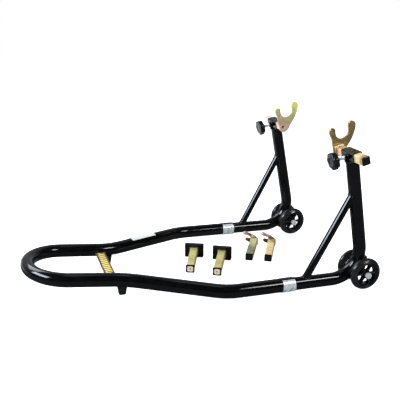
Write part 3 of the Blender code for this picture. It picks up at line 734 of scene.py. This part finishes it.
def build_leg(name, side):
    """Leg and upright in one tube, with the spigot that plugs it into the main tube."""
    corners = [rear_run(JOINT_X + GAP, side), mirrored(LEG_CORNER, side), mirrored(HEAD, side)]
    path = fillet_path(corners, [BEND_RADII["leg"]])
    head = head_matrix(side)
    seat = head @ Vector((0.0, 0.0, -SLEEVE_SIDE / 2 - GAP))
    seat_normal = head.to_3x3() @ UP
    leg = pipe(f"leg_{name}", path, LEG_RADIUS, LEG_BORE, 52, (seat, seat_normal))
    inside = [rear_run(x, side) for x in (JOINT_X - SPIGOT_LENGTH, JOINT_X + 0.006)]
    spigot = pipe(f"spigot_{name}", inside, SPIGOT_RADIUS, LEG_BORE, 40)
    whole = joined(f"leg_finish_{name}", [leg, spigot])
    piece(f"leg_finish_{name}", whole, PAINT, "frame", "black_paint", f"leg_tube_{name}")
    loop = slid_to((seat, seat_normal), ring_at(frames_along(path)[-1], LEG_RADIUS + 0.0006, 64), path)
    add_weld(f"sleeve_weld_{name}", loop, BEADS["sleeve"])


def build_brace(name, side):
    foot, top = rear_run(BRACE_FOOT_X, side), mirrored(between(LEG_CORNER, HEAD, z=BRACE_TOP_Z), side)
    corner = mirrored(LEG_CORNER, side)
    lower = (foot, rear_run(BRACE_FOOT_X, side) - corner)
    upper = (top, mirrored(HEAD, side) - corner)
    steps = 64
    low = saddle(foot, top - foot, BRACE_RADIUS, *lower, LEG_RADIUS, steps)
    high = saddle(top, foot - top, BRACE_RADIUS, *upper, LEG_RADIUS, steps)
    # The two loops start at different angles, so each point of the lower one takes the nearest line.
    run = (top - foot).normalized()
    matched = []
    for point in low:
        across = (point - foot) - run * (point - foot).dot(run)
        matched.append(min(high, key=lambda p: ((p - foot) - run * (p - foot).dot(run) - across).length))
    mesh = mesh_of_rings(f"brace_finish_{name}", [low, matched])
    piece(f"brace_finish_{name}", mesh, PAINT, "frame", "black_paint", f"brace_{name}")
    add_weld(f"brace_foot_weld_{name}", low, BEADS["brace"])
    add_weld(f"brace_top_weld_{name}", high, BEADS["brace"])


def axes_along(start, end):
    """Unit vectors along a straight run, upwards square to it, and across it."""
    run = (end - start).normalized()
    up = (UP - run * UP.dot(run)).normalized()
    return run, up, run.cross(up)


def build_joint_band(name, side):
    """Foil laid round the rail from below, softly creased, that stops short of the top."""
    start, end = (rear_run(JOINT_X - back, side) for back in BAND_FROM_JOINT)
    run, up, across = axes_along(start, end)
    open_half, count, rows = math.radians(27.0), 72, 18
    rings = []
    for row in range(rows + 1):
        ring = []
        for skin, order in ((FILM_SKIN[1], 1), (FILM_SKIN[0], -1)):
            for i in range(count + 1):
                a = math.pi + order * (math.pi - open_half) * (2 * i / count - 1)
                direction = math.cos(a) * up + math.sin(a) * across
                ragged = 0.0004 * math.sin(3 * a + side)
                place = start.lerp(end, row / rows) + run * ragged * (1 - 2 * row / rows)
                crease = noise.noise((place + direction * RAIL_RADIUS) * 130.0) * 0.0001 if order > 0 else 0.0
                ring.append(place + direction * (RAIL_RADIUS + skin + crease))
        rings.append(ring)
    mesh = mesh_of_rings(f"joint_foil_{name}", rings, smooth_angle=40.0)
    piece(f"joint_foil_{name}", mesh, FOIL, "frame", "foil", f"joint_band_{name}")


def build_foot(name, side):
    """Tapered rubber foot that fits round the underside of the rail, with a hole up to its screw."""
    low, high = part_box(f"foot_{name}")
    centre = (low + high) / 2
    wide, depth = high.x - low.x, high.y - low.y
    narrow = 0.0150
    head_hole, seat = 0.0042, 0.006
    axis_z = between(FRONT_BEND, HANDLE, x=centre.x).z
    slope = (HANDLE.z - FRONT_BEND.z) / (HANDLE.x - FRONT_BEND.x)

    def level(z, x_size, y_size, corner):
        ring = square_ring(x_size, corner, 0.0, Matrix.Identity(4), height=y_size)
        return [Vector((centre.x + p.x, centre.y + p.z, z)) for p in ring]

    def circle(z):
        outer = level(z, narrow, depth, 0.002)
        flat = Vector((centre.x, centre.y, z))
        return [flat + (p - flat).normalized() * head_hole for p in outer]

    top = level(high.z, wide, depth, 0.0015)
    for point in top:
        drop = math.sqrt(RAIL_RADIUS ** 2 - (point.y - side * abs(centre.y)) ** 2)
        point.z = min(axis_z + slope * (point.x - centre.x) - drop, high.z)
    rings = [circle(seat), circle(0.0), level(0.0, narrow - 0.002, depth - 0.002, 0.002)]
    rings.append(level(0.0006, narrow - 0.0004, depth - 0.0004, 0.0022))
    rings.append(level(0.0016, narrow + 0.0006, depth, 0.0022))
    rings.append(level(0.0160, wide - 0.0026, depth, 0.0018))
    rings.append(top)
    mesh = mesh_of_rings(f"foot_finish_{name}", rings, smooth_angle=50.0)
    piece(f"foot_finish_{name}", mesh, TYRE_RUBBER, "frame", "black_rubber", f"foot_{name}")


def build_strap():
    low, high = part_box("cross_strap")
    size, centre = high - low, (low + high) / 2
    bar = rounded_box("cross_strap_finish", size, 0.0006, Matrix.Translation(centre))
    piece("cross_strap_finish", bar, STEEL, "frame", "bright_zinc", "cross_strap")
    reach = centre.y + size.y / 2 - 0.0012
    for name, side in SIDES.items():
        turn = Matrix.Translation((centre.x, side * reach, centre.z))
        loop = square_ring(size.x + 0.0012, 0.0015, 0.0, turn, height=size.z + 0.0012)
        add_weld(f"strap_weld_{name}", loop, BEADS["strap"])
    low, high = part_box("strap_label")
    film = rounded_box("strap_film", high - low, 0.0002, Matrix.Translation((low + high) / 2), 2)
    piece("strap_film", film, PATTERN, "frame", "gold_label", "strap_label")


def build_rail_label():
    """White film laid over the top of the left rail."""
    start, end = (between(FRONT_BEND, REAR_BEND, x=x) for x in FILM_X)
    _, up, across = axes_along(start, end)
    half, count, rows = 38.0, 16, 12
    rings = []
    for row in range(rows + 1):
        place = start.lerp(end, row / rows)
        ring = []
        for radius, order in ((RAIL_RADIUS + FILM_SKIN[1], 1), (RAIL_RADIUS + FILM_SKIN[0], -1)):
            for i in range(count + 1):
                a = math.radians(half * order * (2 * i / count - 1))
                ring.append(place + radius * (math.cos(a) * up + math.sin(a) * across))
        rings.append(ring)
    mesh = mesh_of_rings("rail_film", rings)
    piece("rail_film", mesh, FILM, "frame", "white_label", "rail_label")


# Heads


def build_sleeve(name, side):
    head = head_matrix(side)
    half = SLEEVE_LENGTH / 2
    tube = square_pipe(f"sleeve_finish_{name}", SLEEVE_SIDE, 0.0032, SLEEVE_BORE, -half, half, head)
    to_stud = head @ Matrix.Rotation(math.radians(90.0), 4, "Z")
    bore = STUD_RADIUS + GAP
    inside, outside = SLEEVE_BORE / 2 - 0.001, SLEEVE_SIDE / 2 + 0.001
    drill = [(0.0, inside), (bore, inside), (bore, outside), (0.0, outside)]
    tube = boolean(tube, turned("stud_hole", drill, to_stud, 32, wrap=False), "DIFFERENCE")
    piece(f"sleeve_finish_{name}", tube, PAINT, "frame", "black_paint", f"sleeve_{name}")
    face = SLEEVE_SIDE / 2 + GAP
    outer, ease = NUT_RADIUS, 0.0009
    end = face + NUT_LENGTH
    profile = [(bore, face), (outer, face), (outer, end - ease), (outer - ease, end), (bore, end)]
    nut = turned(f"clamp_boss_{name}", profile, to_stud, 48)
    piece(f"clamp_boss_{name}", nut, PAINT, "frame", "black_paint", f"clamp_nut_{name}")
    add_weld(f"boss_weld_{name}", ring_about_y([outer] * 60, face + 0.0004, to_stud), BEADS["boss"])


def build_stud(name, side):
    """M8 stud with a real helical thread. Its axis is the head's X."""
    head = head_matrix(side)
    start, end = STUD_SPAN
    per_turn, sides = 6, 24
    count = round((end - start) / STUD_PITCH * per_turn)
    rings = []
    for step in range(count + 1):
        x = start + (end - start) * step / count
        phases = [(x / STUD_PITCH - i / sides) % 1.0 for i in range(sides)]
        radii = [STUD_MINOR + (STUD_RADIUS - STUD_MINOR) * (1 - abs(2 * phase - 1)) for phase in phases]
        rings.append(ring_about_x(radii, x, head))
    mesh = mesh_of_rings(f"clamp_screw_{name}", rings, smooth_angle=30.0)
    piece(f"clamp_screw_{name}", mesh, BRIGHT, f"clamp_stud_{name}", "bright_zinc", f"clamp_stud_{name}")


def build_knob(name, side):
    """Lobed knob with a dished cap, a rounded rim and a hub towards the stud."""
    head = head_matrix(side)
    front, back = -KNOB_OUT - KNOB_HALF, -KNOB_OUT + KNOB_HALF
    hub, bore = 0.009, STUD_RADIUS + GAP
    rim = 0.0030
    hub_end = back + 0.004
    # Each step is (share of the full radius, x, share of the lobes)
    steps = [(0.001, front + 0.0012, 0.0), (0.30, front + 0.0012, 0.0), (0.40, front + 0.0010, 0.0)]
    steps += [(0.44, front + 0.0002, 0.0), (0.50, front + 0.0002, 0.05), (0.68, front + 0.0006, 0.35)]
    for degrees in (0, 20, 40, 60, 80):
        a = math.radians(degrees)
        share = 1 - rim * (1 - math.sin(a)) / KNOB_RADIUS
        steps.append((share, front + 0.0008 + rim * (1 - math.cos(a)), 1.0))
    steps += [(1.0, -KNOB_OUT, 1.0), (1.0, back - 0.0018, 1.0), (0.975, back - 0.0006, 1.0)]
    steps += [(0.93, back, 0.9), (0.62, back, 0.1), (0.50, back - 0.0002, 0.0)]
    turned_part = [(hub, back + 0.0006), (hub - 0.0003, hub_end - 0.0006), (hub - 0.001, hub_end)]
    turned_part += [(bore, hub_end), (bore, STUD_SPAN[0] - GAP)]
    steps += [(radius / KNOB_RADIUS, x, 0.0) for radius, x in turned_part]
    waves = [KNOB_WAVE * (1 - math.cos(KNOB_LOBES * a)) for a in full_turn(KNOB_LOBES * 16)]
    rings = []
    for share, x, lobes in steps:
        rings.append(ring_about_x([share * KNOB_RADIUS - lobes * wave for wave in waves], x, head))
    mesh = mesh_of_rings(f"knob_finish_{name}", rings, smooth_angle=50.0)
    piece(f"knob_finish_{name}", mesh, PLASTIC, f"clamp_knob_{name}", "black_plastic", f"clamp_knob_{name}")


def adapter_tube(name, *placing):
    return square_pipe(name, ADAPTER_SIDE, ADAPTER_CORNER, ADAPTER_BORE, *placing)


def cap_mesh(name, end, outward, matrix):
    """Thin end cap: a flange with a slightly domed face, and a stem inside the tube."""
    side = ADAPTER_SIDE
    face = end + outward * GAP
    out = face + outward * CAP_THICKNESS
    stem, depth = 0.0148, 0.0085
    steps = [(stem - 0.002, 0.001, face - outward * depth), (stem, 0.0015, face - outward * (depth - 0.001))]
    steps += [(stem, 0.0015, face), (side - 0.0003, 0.0020, face), (side, 0.0022, face + outward * 0.0004)]
    steps += [(side, 0.0022, out - outward * 0.0014), (side - 0.0006, 0.0020, out - outward * 0.0007)]
    steps += [(side - 0.0020, 0.0016, out - outward * 0.0002), (side - 0.0050, 0.0014, out)]
    return mesh_of_rings(name, [square_ring(*step, matrix) for step in steps], smooth_angle=50.0)


def build_adapter(name, side):
    head = head_matrix(side)
    body = f"adapter_{name}"
    start, end = -side * (FORK_FACE - GAP), side * ADAPTER_OUT
    tube = adapter_tube(f"adapter_tube_finish_{name}", start, end, head)
    piece(f"adapter_tube_finish_{name}", tube, TUBE_ZINC[name], body, "yellow_zinc", f"adapter_tube_{name}")
    place = mirrored(HEAD, side) - Vector((0.0, side * (FORK_FACE + FORK_THICKNESS / 2), SMOOTH))
    hole = (FORK_HOLE, *FORK_HOLE_AT)
    fork = outline_plate(f"fork_finish_{name}", FORK_OUTLINE, FORK_THICKNESS, Matrix.Translation(place), hole)
    piece(f"fork_finish_{name}", fork, FORK_ZINC[name], body, "yellow_zinc", f"fork_{name}")
    cap = cap_mesh(f"adapter_cap_finish_{name}", end, side, head)
    piece(f"adapter_cap_finish_{name}", cap, PLASTIC, body, "black_plastic", f"adapter_cap_{name}")
    loop = square_ring(ADAPTER_SIDE + 0.0008, ADAPTER_CORNER, start + side * 0.0002, head)
    add_weld(f"fork_weld_{name}", loop, BEADS["fork"], body)


# Wheels


def tyre_mesh(name, matrix):
    """Solid tyre: a crowned tread, a moulding line round its middle, a groove round each flank and a bead."""
    bead, half, steps = RIM_RADIUS + GAP, TYRE_HALF, 18
    inner = TYRE_RADIUS - TYRE_CROWN
    flank = [(bead, half - 0.0012), (bead + 0.0003, half - 0.0004), (inner - 0.0002, half - 0.0001)]
    shares = [1 - i / steps for i in range(2 * steps + 1)]
    shares = [share for share in shares if not 0.60 < abs(share) < 0.74]
    shares += [sign * share for share in (0.60, 0.635, 0.65, 0.69, 0.705, 0.74) for sign in (1, -1)]
    profile = list(flank)
    for share in sorted(shares, reverse=True):
        seam = 0.0002 if abs(share) < 0.02 else 0.0
        groove = 0.0005 if 0.64 < abs(share) < 0.70 else 0.0
        profile.append((TYRE_RADIUS - TYRE_CROWN * share ** 2 - seam - groove, half * share))
    profile += [(radius, -y) for radius, y in reversed(flank)]
    return turned(name, profile, matrix, 112)


def rim_mesh(name, matrix):
    """Spoked rim: a lipped ring, six tapered spokes and a hub that stands a little proud."""
    flat = Matrix.Identity(4)
    outer, half = RIM_RADIUS, RIM_HALF
    ring = [(0.0226, half - 0.0040), (0.0229, half - 0.0026), (0.0240, half - 0.0020)]
    ring += [(0.0248, half - 0.0018), (0.0254, half - 0.0003), (0.0259, half), (outer - 0.0003, half)]
    ring.append((outer, half - 0.0005))
    ring += [(radius, -y) for radius, y in reversed(ring)]
    felloe = turned(f"{name}_felloe", ring, flat, 112)
    hub = [(AXLE_BORE, HUB_HALF), (0.0078, HUB_HALF), (0.0084, HUB_HALF - 0.0006), (0.0087, half - 0.0020)]
    hub += [(HUB_RADIUS - 0.0004, half - 0.0026), (HUB_RADIUS, half - 0.0036)]
    hub += [(radius, -y) for radius, y in reversed(hub)]
    whole = boolean(felloe, turned(f"{name}_hub", hub, flat, 64), "UNION")
    # Each section of a spoke is (distance from the axle, width, thickness)
    sections = [(0.0085, 0.0064, 0.0120), (0.0125, 0.0046, 0.0108), (0.0185, 0.0044, 0.0104)]
    sections.append((0.0236, 0.0070, 0.0108))
    for i in range(SPOKES):
        rings = []
        for radius, width, thick in sections:
            section = square_ring(width, 0.0014, 0.0, flat, 5, height=thick)
            rings.append([Vector((radius, p.z, p.x)) for p in section])
        turn = Matrix.Rotation(2 * math.pi * i / SPOKES, 4, "Y")
        spoke = moved(mesh_of_rings(f"{name}_spoke", rings, smooth_angle=50.0), turn)
        whole = boolean(whole, spoke, "UNION")
    whole.name = name
    return moved(whole, matrix)


def build_wheels():
    """The rim is made once, and each wheel has its own copy of it."""
    rim = rim_mesh("rim_master", Matrix.Identity(4))
    for name in ("left_outer", "left_inner", "right_outer", "right_inner"):
        place = Matrix.Translation(centre_of(f"tyre_{name}"))
        body = f"wheel_{name}"
        tyre = tyre_mesh(f"tyre_finish_{name}", place)
        piece(f"tyre_finish_{name}", tyre, TYRE_RUBBER, body, "black_rubber", f"tyre_{name}")
        piece(f"rim_finish_{name}", moved(rim, place), PLASTIC, body, "black_plastic", f"wheel_rim_{name}")


def hex_mesh(name, start, end, matrix, bore=0.0):
    """Hexagon nut or bolt head along Y, with softened corners and a chamfer at its outer end."""
    count, chamfer = 48, 0.0008
    flat = BOLT_RADIUS * math.cos(math.radians(30.0))
    radii = []
    for a in full_turn(count):
        from_flat = a % math.radians(60.0) - math.radians(30.0)
        radii.append(min(flat / math.cos(from_flat), BOLT_RADIUS * 0.985))
    eased = [min(radius, BOLT_RADIUS * 0.90) for radius in radii]
    rings = [ring_about_y(radii, y, matrix) for y in (start, end - math.copysign(chamfer, end - start))]
    rings.append(ring_about_y(eased, end, matrix))
    if bore:
        rings += [ring_about_y([bore] * count, y, matrix) for y in (end, start)]
        return mesh_of_rings(name, rings, wrap=True)
    rings.append([matrix @ Vector((0.0, end, 0.0))])
    return mesh_of_rings(name, rings)


def build_axle(name, side):
    """Bolt with its head outside and a nut inside. The bracket between the wheels stays the CAD model's."""
    middle = (centre_of(f"tyre_{name}_outer") + centre_of(f"tyre_{name}_inner")) / 2
    place = Matrix.Translation(middle)
    face = WHEEL_OFFSET + HUB_HALF + GAP
    head_end, nut_end, tail = face + BOLT_HEAD, face + NUT_HEIGHT, face + BOLT_TAIL
    head = hex_mesh(f"bolt_head_{name}", side * face, side * head_end, place)
    shank_profile = [(0.0, -side * tail), (0.0034, -side * tail), (0.0040, -side * (tail - 0.0006))]
    shank_profile += [(0.0040, side * (face + 0.001)), (0.0, side * (face + 0.001))]
    shank = turned(f"bolt_shank_{name}", shank_profile, place, 40, wrap=False)
    bolt = joined(f"axle_bolt_finish_{name}", [head, shank])
    piece(f"axle_bolt_finish_{name}", bolt, BRIGHT, "frame", "bright_zinc", f"axle_bolt_{name}")
    nut = hex_mesh(f"axle_nut_finish_{name}", -side * face, -side * nut_end, place, bore=AXLE_BORE)
    piece(f"axle_nut_finish_{name}", nut, BRIGHT, "frame", "bright_zinc", f"axle_nut_{name}")
    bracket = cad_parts[f"axle_bracket_{name}"]
    bracket.data.materials.clear()
    bracket.data.materials.append(PAINT)
    ease = bracket.modifiers.new("eased edges", "BEVEL")
    ease.width = 0.0005
    ease.segments = 2
    ease.angle_limit = math.radians(50.0)


# Spare adapters


def build_pad_adapter(name, spot, heading):
    half = ADAPTER_SIDE / 2
    rise = math.atan((PAD_PLATE.z / 2 - half) / (PAD_TUBE + PAD_PLATE.y))
    base = Matrix.Translation((*spot, PAD_LIFT)) @ Matrix.Rotation(math.radians(heading), 4, "Z")
    axis = base @ Matrix.Rotation(rise, 4, "X") @ Matrix.Translation((0.0, 0.0, half))
    face, floor, ease = 0.0012, 0.0035, 0.0006
    tube = adapter_tube(f"{name}_tube_finish", PAD_TUBE, face, axis, ease, floor)
    hole_end = [(0.0, -0.005), (0.0020, -0.005), (0.0020, 0.006), (0.0, 0.006)]
    tube = boolean(tube, turned("end_hole", hole_end, axis, 32, wrap=False), "DIFFERENCE")
    piece(f"{name}_tube_finish", tube, PAD_ZINC, name, "yellow_zinc", f"{name}_tube")
    collar_place = axis @ Matrix.Translation((0.0, 0.0, 0.0003))
    # Each step of the collar is (width, corner radius, y, height), from its lip to the tube and back
    steps = [(0.0150, 0.0040, 0.0009, 0.0150), (0.0150, 0.0040, 0.0003, 0.0150)]
    steps += [(0.0206, 0.0030, 0.0001, 0.0200), (0.0216, 0.0028, 0.0008, 0.0206)]
    steps += [(0.0216, 0.0028, 0.0040, 0.0206), (0.0212, 0.0026, 0.0044, 0.0202)]
    steps += [(0.0194, 0.0024, 0.0044, 0.0194), (0.0194, 0.0024, 0.0009, 0.0194)]
    rings = [square_ring(side, corner, y, collar_place, height=height) for side, corner, y, height in steps]
    collar = mesh_of_rings(f"{name}_collar_finish", rings, wrap=True)
    piece(f"{name}_collar_finish", collar, PLASTIC, name, "black_plastic", f"{name}_collar")
    back = PAD_TUBE + GAP
    place = axis @ Matrix.Translation((0.0, back + PAD_PLATE.y / 2, 0.0))
    plate = rounded_plate(f"{name}_plate_finish", PAD_PLATE, 0.0018, 0.0006, place)
    piece(f"{name}_plate_finish", plate, PAINT, name, "black_paint", f"{name}_plate")
    back += PAD_PLATE.y + GAP
    place = axis @ Matrix.Translation((0.0, back + PAD_RUBBER.y / 2, 0.0004))
    rubber_pad = rounded_plate(f"{name}_rubber_finish", PAD_RUBBER, 0.0026, 0.0012, place)
    piece(f"{name}_rubber_finish", rubber_pad, PAD_BLACK, name, "black_rubber", f"{name}_rubber")
    loop = square_ring(ADAPTER_SIDE + 0.0006, ADAPTER_CORNER, PAD_TUBE - 0.0004, axis)
    add_weld(f"{name}_weld", loop, BEADS["pad"], name)


def build_hook_adapter(name, spot, heading):
    half = ADAPTER_SIDE / 2
    base = Matrix.Translation((*spot, GAP)) @ Matrix.Rotation(math.radians(heading), 4, "Z")
    axis = base @ Matrix.Translation((0.0, 0.0, half))
    start = CAP_THICKNESS + GAP
    tube = adapter_tube(f"{name}_tube_finish", HOOK_TUBE, start, axis)
    piece(f"{name}_tube_finish", tube, HOOK_ZINC[name], name, "yellow_zinc", f"{name}_tube")
    cap = cap_mesh(f"{name}_cap_finish", start, -1, axis)
    piece(f"{name}_cap_finish", cap, PLASTIC, name, "black_plastic", f"{name}_cap")
    place = axis @ Matrix.Translation((0.0, HOOK_TUBE + GAP + HOOK_THICKNESS / 2, 0.0))
    fork = outline_plate(f"{name}_fork_finish", HOOK_OUTLINE, HOOK_THICKNESS, place)
    # The fork's zinc is painted darker low down and pale on top: painted shade and a painted highlight
    piece(f"{name}_fork_finish", fork, HOOK_FORK_ZINC_PAINTED_LIGHT, name, "yellow_zinc", f"{name}_fork")
    loop = square_ring(ADAPTER_SIDE + 0.0004, ADAPTER_CORNER, HOOK_TUBE - 0.0004, axis)
    for point in loop:
        point.z = max(point.z, 0.0020)  # the bead stays off the floor the tube rests on
    add_weld(f"{name}_weld", loop, BEADS["hook"], name)


# Stage

CAMERA_AT = Vector((-0.4327, -1.3850, 0.6284))
CAMERA_YAW, CAMERA_PITCH, CAMERA_ROLL = 18.40, 17.25, 0.99
LENS = 57.15
LIGHTS_AIM = Vector((0.0, 0.0, 0.08))
FLOOR_HALF = 6.0
FLOOR_DROP = 0.0002
FLOOR_GLOW = 0.80
FLOOR_TONE = 0.80
FLOOR_MIRRORED = 0.08  # the front of the floor in reflections, as if dark cards lay before the stand
FLOOR_MIRRORED_Y = (0.1, 0.9)
WORLD_FILL = 0.85
WORLD_MIRRORED = ((0.56, (0.022, 0.023, 0.026)), (0.86, (0.36, 0.37, 0.40)))


def build_camera():
    data = bpy.data.cameras.new("camera")
    data.sensor_width = 36.0
    data.lens = LENS
    data.shift_y = 0.00125
    data.clip_start = 0.05
    camera = bpy.data.objects.new("camera", data)
    yaw, pitch, roll = (math.radians(a) for a in (CAMERA_YAW, CAMERA_PITCH, CAMERA_ROLL))
    ahead = Vector((math.sin(yaw) * math.cos(pitch), math.cos(yaw) * math.cos(pitch), -math.sin(pitch)))
    level = Vector((math.cos(yaw), -math.sin(yaw), 0.0))
    above = level.cross(ahead)
    right = math.cos(roll) * level + math.sin(roll) * above
    top = -math.sin(roll) * level + math.cos(roll) * above
    turn = Matrix((right, top, -ahead)).transposed().to_4x4()
    camera.matrix_world = Matrix.Translation(CAMERA_AT) @ turn
    bpy.context.scene.collection.objects.link(camera)
    bpy.context.scene.camera = camera


def area_light(name, azimuth, elevation, distance, size, radiance, colour=(1.0, 1.0, 1.0)):
    """A softbox that faces the middle of the stand. Its azimuth is measured from +X towards +Y."""
    a, e = math.radians(azimuth), math.radians(elevation)
    away = Vector((math.cos(e) * math.cos(a), math.cos(e) * math.sin(a), math.sin(e)))
    data = bpy.data.lights.new(name, "AREA")
    data.shape = "RECTANGLE"
    data.size, data.size_y = size
    data.energy = radiance * math.pi * size[0] * size[1]
    data.color = colour
    light = bpy.data.objects.new(name, data)
    light.location = LIGHTS_AIM + away * distance
    light.rotation_euler = away.to_track_quat("Z", "Y").to_euler()
    bpy.context.scene.collection.objects.link(light)


def build_floor():
    """Pale floor. The glow that the camera sees is what clears a studio's white sweep."""
    shape = bmesh.new()
    bmesh.ops.create_grid(shape, x_segments=1, y_segments=1, size=FLOOR_HALF)
    bmesh.ops.translate(shape, verts=shape.verts, vec=(0.0, 0.0, -FLOOR_DROP))
    mesh = bpy.data.meshes.new("floor")
    shape.to_mesh(mesh)
    shape.free()
    made = Shader("studio_floor")
    made.principled.inputs["Roughness"].default_value = 0.9
    made.principled.inputs["Specular IOR Level"].default_value = 0.0
    path, parts, glow = made.node("LightPath"), made.node("SeparateXYZ"), made.node("Emission")
    made.link(made.place, parts.inputs["Vector"])
    front, back = FLOOR_MIRRORED_Y
    mirrored_tone = made.node(
        "MapRange", {"From Min": front, "From Max": back, "To Min": FLOOR_MIRRORED, "To Max": FLOOR_TONE}
    )
    made.link(parts.outputs["Y"], mirrored_tone.inputs["Value"])
    tone = made.node("MapRange", {"To Min": FLOOR_TONE})
    made.link(path.outputs["Is Glossy Ray"], tone.inputs["Value"])
    made.link(mirrored_tone.outputs["Result"], tone.inputs["To Max"])
    made.link(tone.outputs["Result"], made.principled.inputs["Base Color"])
    strength = made.node("Math", {1: FLOOR_GLOW}, operation="MULTIPLY")
    made.link(path.outputs["Is Camera Ray"], strength.inputs[0])
    made.link(strength.outputs["Value"], glow.inputs["Strength"])
    both = made.node("AddShader")
    made.link(made.principled.outputs["BSDF"], both.inputs[0])
    made.link(glow.outputs["Emission"], both.inputs[1])
    made.link(both.outputs["Shader"], made.tree.nodes["Material Output"].inputs["Surface"])
    floor = bpy.data.objects.new("floor", mesh)
    mesh.materials.append(made.material)
    bpy.context.scene.collection.objects.link(floor)


def build_world():
    """White to the camera and pale to matt surfaces. Glossy ones mirror a dim studio, brighter behind."""
    world = bpy.data.worlds.new("studio")
    world.use_nodes = True
    bpy.context.scene.world = world
    tree = world.node_tree
    place, parts, path = (add_node(tree, kind) for kind in ("TexCoord", "SeparateXYZ", "LightPath"))
    tree.links.new(place.outputs["Generated"], parts.inputs["Vector"])
    depth = add_node(tree, "MapRange", {"From Min": -1.0, "From Max": 1.0})
    tree.links.new(parts.outputs["Y"], depth.inputs["Value"])
    ramp = add_node(tree, "ValToRGB")
    set_stops(ramp, WORLD_MIRRORED)
    tree.links.new(depth.outputs["Result"], ramp.inputs["Fac"])
    last = ramp.outputs["Color"]
    for ray, brightness in (("Is Diffuse Ray", WORLD_FILL), ("Is Camera Ray", 1.0)):
        mix = add_node(tree, "Mix", data_type="RGBA")
        tree.links.new(path.outputs[ray], mix.inputs["Factor"])
        tree.links.new(last, mix.inputs["A"])
        mix.inputs["B"].default_value = (brightness, brightness, brightness, 1.0)
        last = mix.outputs["Result"]
    tree.links.new(last, tree.nodes["Background"].inputs["Color"])


def build_stage():
    build_camera()
    build_floor()
    build_world()
    area_light("key", -50.4, 38.0, 2.4, (0.74, 0.34), 18.0)
    area_light("back", 128.0, 44.0, 2.6, (1.7, 1.0), 5.0, (0.96, 0.98, 1.0))
    area_light("left", -170.0, 34.0, 2.4, (1.7, 0.85), 16.0, (0.78, 0.88, 1.0))
    area_light("top", 60.0, 84.0, 2.4, (0.5, 0.5), 1.2)
    bpy.context.scene.view_settings.view_transform = "Standard"


def main():
    build_main_tube()
    build_strap()
    build_rail_label()
    build_wheels()
    for name, side in SIDES.items():
        build_leg(name, side)
        build_brace(name, side)
        build_joint_band(name, side)
        build_foot(name, side)
        build_sleeve(name, side)
        build_stud(name, side)
        build_knob(name, side)
        build_adapter(name, side)
        build_axle(name, side)
        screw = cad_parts[f"foot_screw_{name}"]
        screw.data.materials.clear()
        screw.data.materials.append(BRIGHT)
    for name, (spot, heading) in PADS.items():
        build_pad_adapter(name, spot, heading)
    for name, (spot, heading) in HOOKS.items():
        build_hook_adapter(name, spot, heading)
    build_stage()


main()
